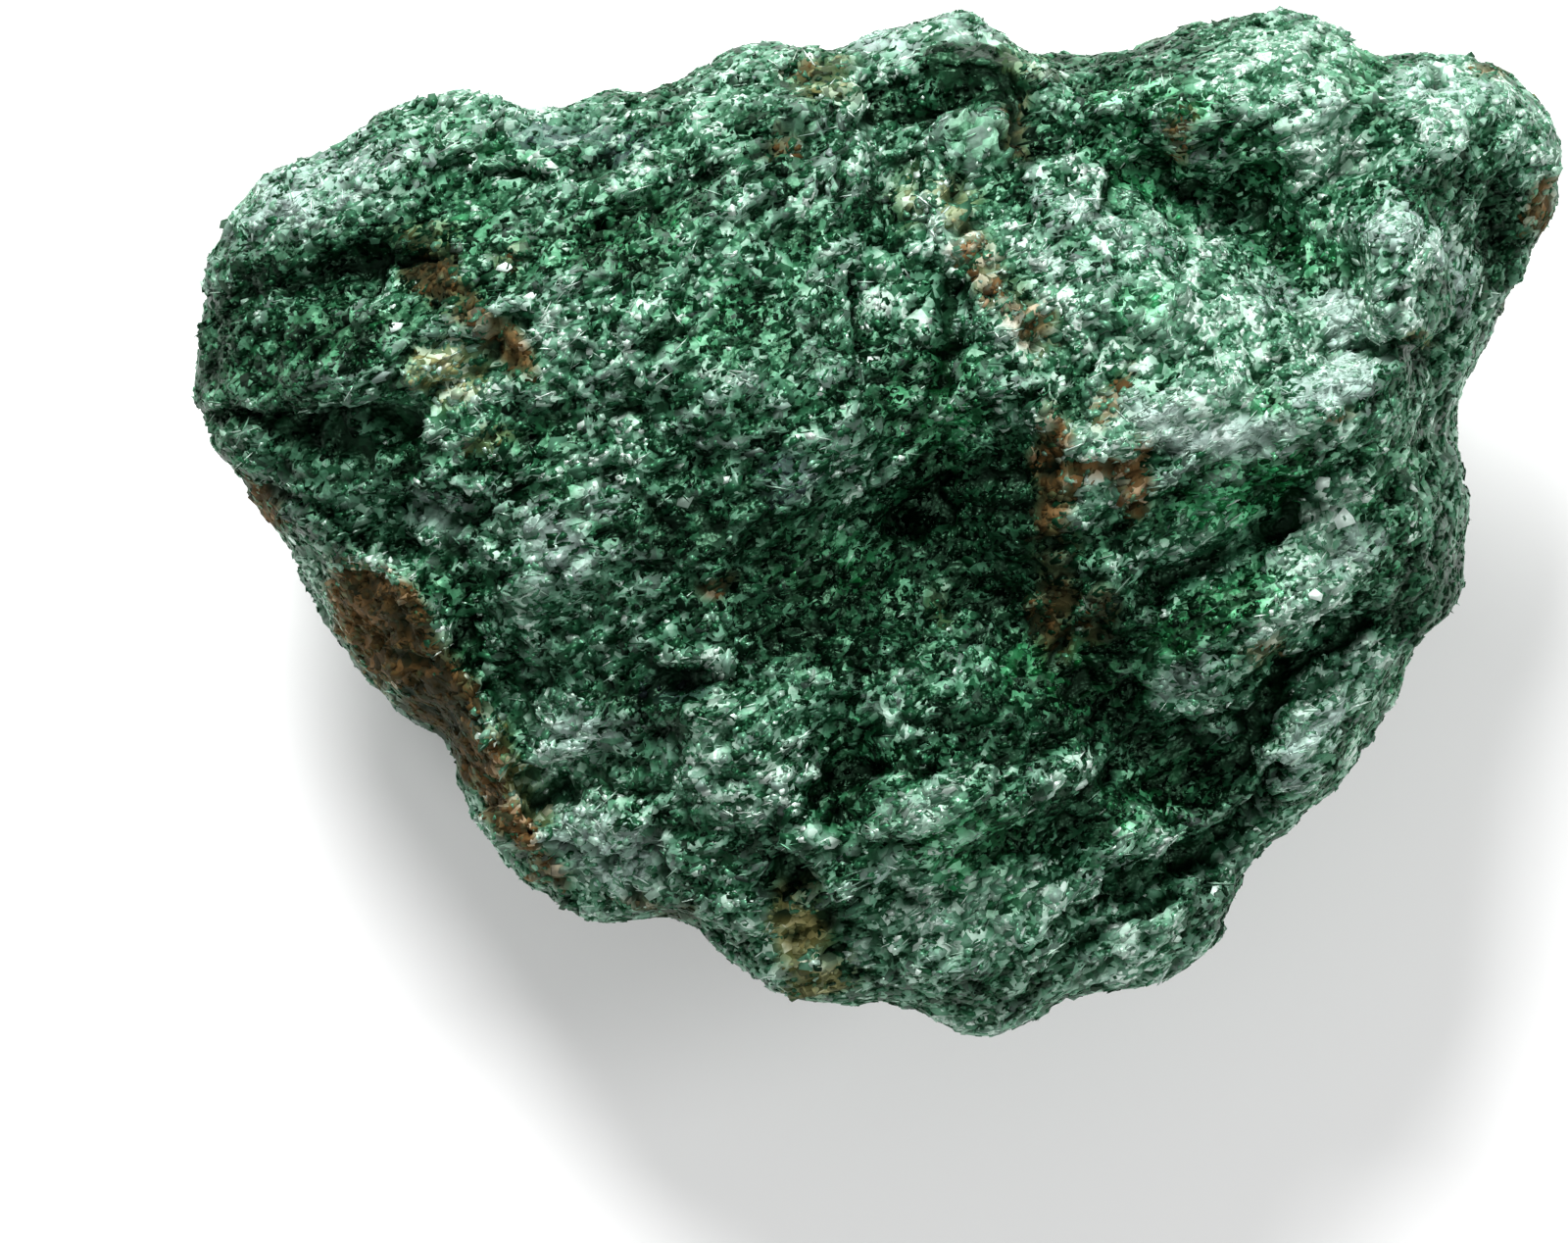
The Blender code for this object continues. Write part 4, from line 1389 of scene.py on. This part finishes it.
    def grade(self, random: np.random.Generator, skin: StoneSkin, point: np.ndarray,
              coat: np.ndarray) -> tuple[np.ndarray, np.ndarray]:
        """Work out the tint, the painted shade and the marks of every flake.

        Args:
            random: Source of the flakes' differences.
            skin: The skin that the flakes lie in.
            point: The corner of the shell at each flake.
            coat: Share by which each flake is coated.

        Returns:
            The grain and the marks of each flake.
        """
        below = skin.marks[point]
        # Pale places: partly pale mica, partly painted light
        pale = np.clip(below[:, Mark.PALE_AND_LIT.value], 0.0, 1.0)
        low, high = self.tints
        tint = random.beta(*self.tint_spread, self.count) * (high - low) + low
        tint += self.ground_share * (skin.grain[point, 0] - 0.5)
        tint += self.frost_tint * below[:, Mark.FROST.value]
        tint += self.clear_tint * below[:, Mark.EMERALD.value]
        coat_tint, pale_gain = self.coat_tint
        even = np.clip(coat + self.pale_coat * pale, 0.0, self.most_coat)
        tint += even * (coat_tint + pale_gain * pale - tint)
        # Painted glints: a random share of flakes made paler
        painted_sparks = random.uniform(0.0, 1.0, self.count) < self.painted_spark_share
        tint += self.painted_spark_tint * painted_sparks * (1.0 - pale)
        # Each flake takes a random share of the skin's painted shade
        shade_and_deep = skin.grain[point, 1] * random.uniform(*self.shade_and_deep_shares, self.count)
        keep = random.uniform(0.0, 1.0, (self.count, 1))
        marks = smooth_step(0.0, self.mark_edge, below - keep)
        return np.column_stack([np.clip(tint, 0.0, 1.0), shade_and_deep]), marks

    def build(self, skin: StoneSkin) -> bpy.types.Object:
        """Make the layer's object, dress it and return it.

        Args:
            skin: The skin that the flakes lie in.

        Returns:
            The finished piece.
        """
        random = np.random.default_rng(self.seed + 1)
        point, places, facing = self.place(skin)
        earth = np.maximum(skin.marks[point, Mark.RUST.value], skin.marks[point, Mark.OCHRE.value])
        coat = self.frost_coat * skin.marks[point, Mark.FROST.value] + self.earth_coat * earth
        coat = np.clip(coat, 0.0, self.most_coat)
        points = self.outline(random, places, facing, coat)
        mesh = new_mesh(self.name, points.reshape(-1, 3), *self.faces())
        add_map(mesh, lay_in_cells(self.count, self.sides))
        grain, marks = self.grade(random, skin, point, coat)
        corners = self.sides + 1
        add_attributes(mesh, np.repeat(grain, corners, axis=0), np.repeat(marks, corners, axis=0))
        piece = bpy.data.objects.new(self.name, mesh)
        bpy.context.scene.collection.objects.link(piece)
        mesh.materials.append(self.finish.make())
        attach(piece, BODY)
        return piece


@dataclass(frozen=True)
class StudioFloor:
    """A plain pale floor."""

    half_width: float = 3.0
    colour: Colour = (0.92, 0.92, 0.92)

    def build(self) -> bpy.types.Object:
        """Make the floor.

        Returns:
            The floor.
        """
        half = self.half_width
        corners = [(-half, -half, 0), (half, -half, 0), (half, half, 0), (-half, half, 0)]
        mesh = bpy.data.meshes.new("studio_floor")
        mesh.from_pydata(corners, [], [(0, 1, 2, 3)])
        floor = bpy.data.objects.new("studio_floor", mesh)
        bpy.context.scene.collection.objects.link(floor)
        material = bpy.data.materials.new("studio_paper")
        material.use_nodes = True
        shader = material.node_tree.nodes["Principled BSDF"]
        shader.inputs["Base Color"].default_value = (*self.colour, 1.0)
        shader.inputs["Roughness"].default_value = 1.0
        shader.inputs["Specular IOR Level"].default_value = 0.0
        mesh.materials.append(material)
        return floor


@dataclass(frozen=True)
class StudioLight:
    """One soft light that faces the stone."""

    name: str
    place: tuple[float, float, float]
    size: float
    power: float
    aim: tuple[float, float, float] = (0.0, 0.0, 0.02)

    def build(self) -> bpy.types.Object:
        """Make the light.

        Returns:
            The light.
        """
        data = bpy.data.lights.new(self.name, "AREA")
        data.shape = "DISK"
        data.size = self.size
        data.energy = self.power
        light = bpy.data.objects.new(self.name, data)
        light.location = self.place
        away = Vector(self.place) - Vector(self.aim)
        light.rotation_euler = away.to_track_quat("Z", "Y").to_euler()
        bpy.context.scene.collection.objects.link(light)
        return light


@dataclass(frozen=True)
class StudioCamera:
    """The camera, which looks straight down on the broad face."""

    height: float = 0.75
    rim_height: float = 0.023
    sensor: float = 36.0
    # Size of the photograph's pixel at the rim, and the pixel at the tables' zero
    pixel: float = MM / 16.0
    zero_pixel: tuple[float, float] = (880.0, 540.0)

    def build(self) -> bpy.types.Object:
        """Make the camera and look through it.

        Returns:
            The camera.
        """
        data = bpy.data.cameras.new("camera")
        data.sensor_width = self.sensor
        data.lens = self.sensor * (self.height - self.rim_height) / (PHOTO_WIDTH * self.pixel)
        camera = bpy.data.objects.new("camera", data)
        x = (PHOTO_WIDTH / 2 - self.zero_pixel[0]) * self.pixel - FACE_CENTRE[0] * MM
        y = (self.zero_pixel[1] - PHOTO_HEIGHT / 2) * self.pixel - FACE_CENTRE[1] * MM
        camera.location = (x, y, self.height)
        bpy.context.scene.collection.objects.link(camera)
        bpy.context.scene.camera = camera
        return camera


@dataclass(frozen=True)
class Studio:
    """The floor, the lights, the surroundings and the camera."""

    sky: float = 0.34
    lights: tuple[StudioLight, ...] = (
        StudioLight("key", (-0.14, 0.56, 0.44), 0.34, 11.0),
        StudioLight("front", (0.12, -0.34, 0.66), 0.34, 1.8),
        StudioLight("side", (0.62, 0.06, 0.34), 0.24, 1.6),
    )

    def build(self) -> None:
        """Make everything round the stone."""
        StudioFloor().build()
        for light in self.lights:
            light.build()
        world = bpy.data.worlds.new("studio")
        world.use_nodes = True
        sky = world.node_tree.nodes["Background"]
        sky.inputs["Color"].default_value = (1.0, 1.0, 1.0, 1.0)
        sky.inputs["Strength"].default_value = self.sky
        bpy.context.scene.world = world
        bpy.context.scene.view_settings.view_transform = "Standard"
        bpy.context.scene.view_settings.look = "None"
        StudioCamera().build()


def flake_layers() -> tuple[FlakeLayer, ...]:
    """List the layers of flakes with their finishes.

    Returns:
        The layers, from the ground up.
    """
    green = MicaFinish("mica_green", 0.15, (0.44, 0.80))
    leaf = MicaFinish("mica_leaf", 0.35, (0.38, 0.75))
    silver = MicaFinish("mica_silver", 0.48, (0.40, 0.74))
    # Pale finish of the painted glints
    glint_paint = MicaFinish("mica_glint_paint", 0.10, (0.32, 0.60), greens=(
        (0.00, (0.470, 0.650, 0.565)),
        (1.00, (0.720, 0.870, 0.795)),
    ))
    return (
        FlakeLayer(
            "mica_grains", 24000, size=(0.30, 1.05), stretch=(1.0, 1.7), tilt=13.0,
            lift=(-0.06, 0.02), tints=(0.02, 0.79), finish=green, seed=101),
        FlakeLayer(
            "mica_leaves", 24000, size=(0.38, 1.40), stretch=(1.0, 1.9), tilt=10.0,
            lift=(-0.04, 0.05), tints=(0.06, 0.86), finish=leaf, seed=202),
        FlakeLayer(
            "mica_glints", 24000, size=(0.26, 1.00), stretch=(1.0, 1.6), tilt=14.0,
            lift=(-0.02, 0.06), tints=(0.18, 0.93), finish=silver, seed=303),
        FlakeLayer(
            "mica_plates", 400, size=(1.00, 1.70), stretch=(1.0, 1.5), tilt=10.0,
            lift=(-0.02, 0.03), tints=(0.10, 0.65), finish=leaf, seed=404, earth_share=0.0),
        FlakeLayer(
            "mica_fibres", 7000, size=(0.15, 0.28), stretch=(5.0, 10.0), tilt=6.0,
            lift=(0.02, 0.06), tints=(0.45, 0.95), finish=leaf, seed=505,
            frost_share=0.96, earth_share=0.1),
        # Large flakes painted pale, as painted glints
        FlakeLayer(
            "mica_painted_glints", len(PAINTED_GLINT_SPOTS), size=(1.0, 1.4), stretch=(1.0, 1.4), tilt=6.0,
            lift=(0.08, 0.12), tints=(0.95, 1.00), finish=glint_paint, seed=606, spots=PAINTED_GLINT_SPOTS),
    )


def main() -> None:
    """Build the skin, its flakes and the studio, in order."""
    logging.basicConfig(level=logging.INFO, format="%(name)s: %(message)s")
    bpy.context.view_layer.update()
    skin = StoneSkin()
    skin.shape()
    piece = skin.build()
    log.info("%s: %d faces", piece.name, len(piece.data.polygons))
    for layer in flake_layers():
        piece = layer.build(skin)
        log.info("%s: %d flakes", piece.name, layer.count)
    Studio().build()


if __name__ == "__main__":
    main()
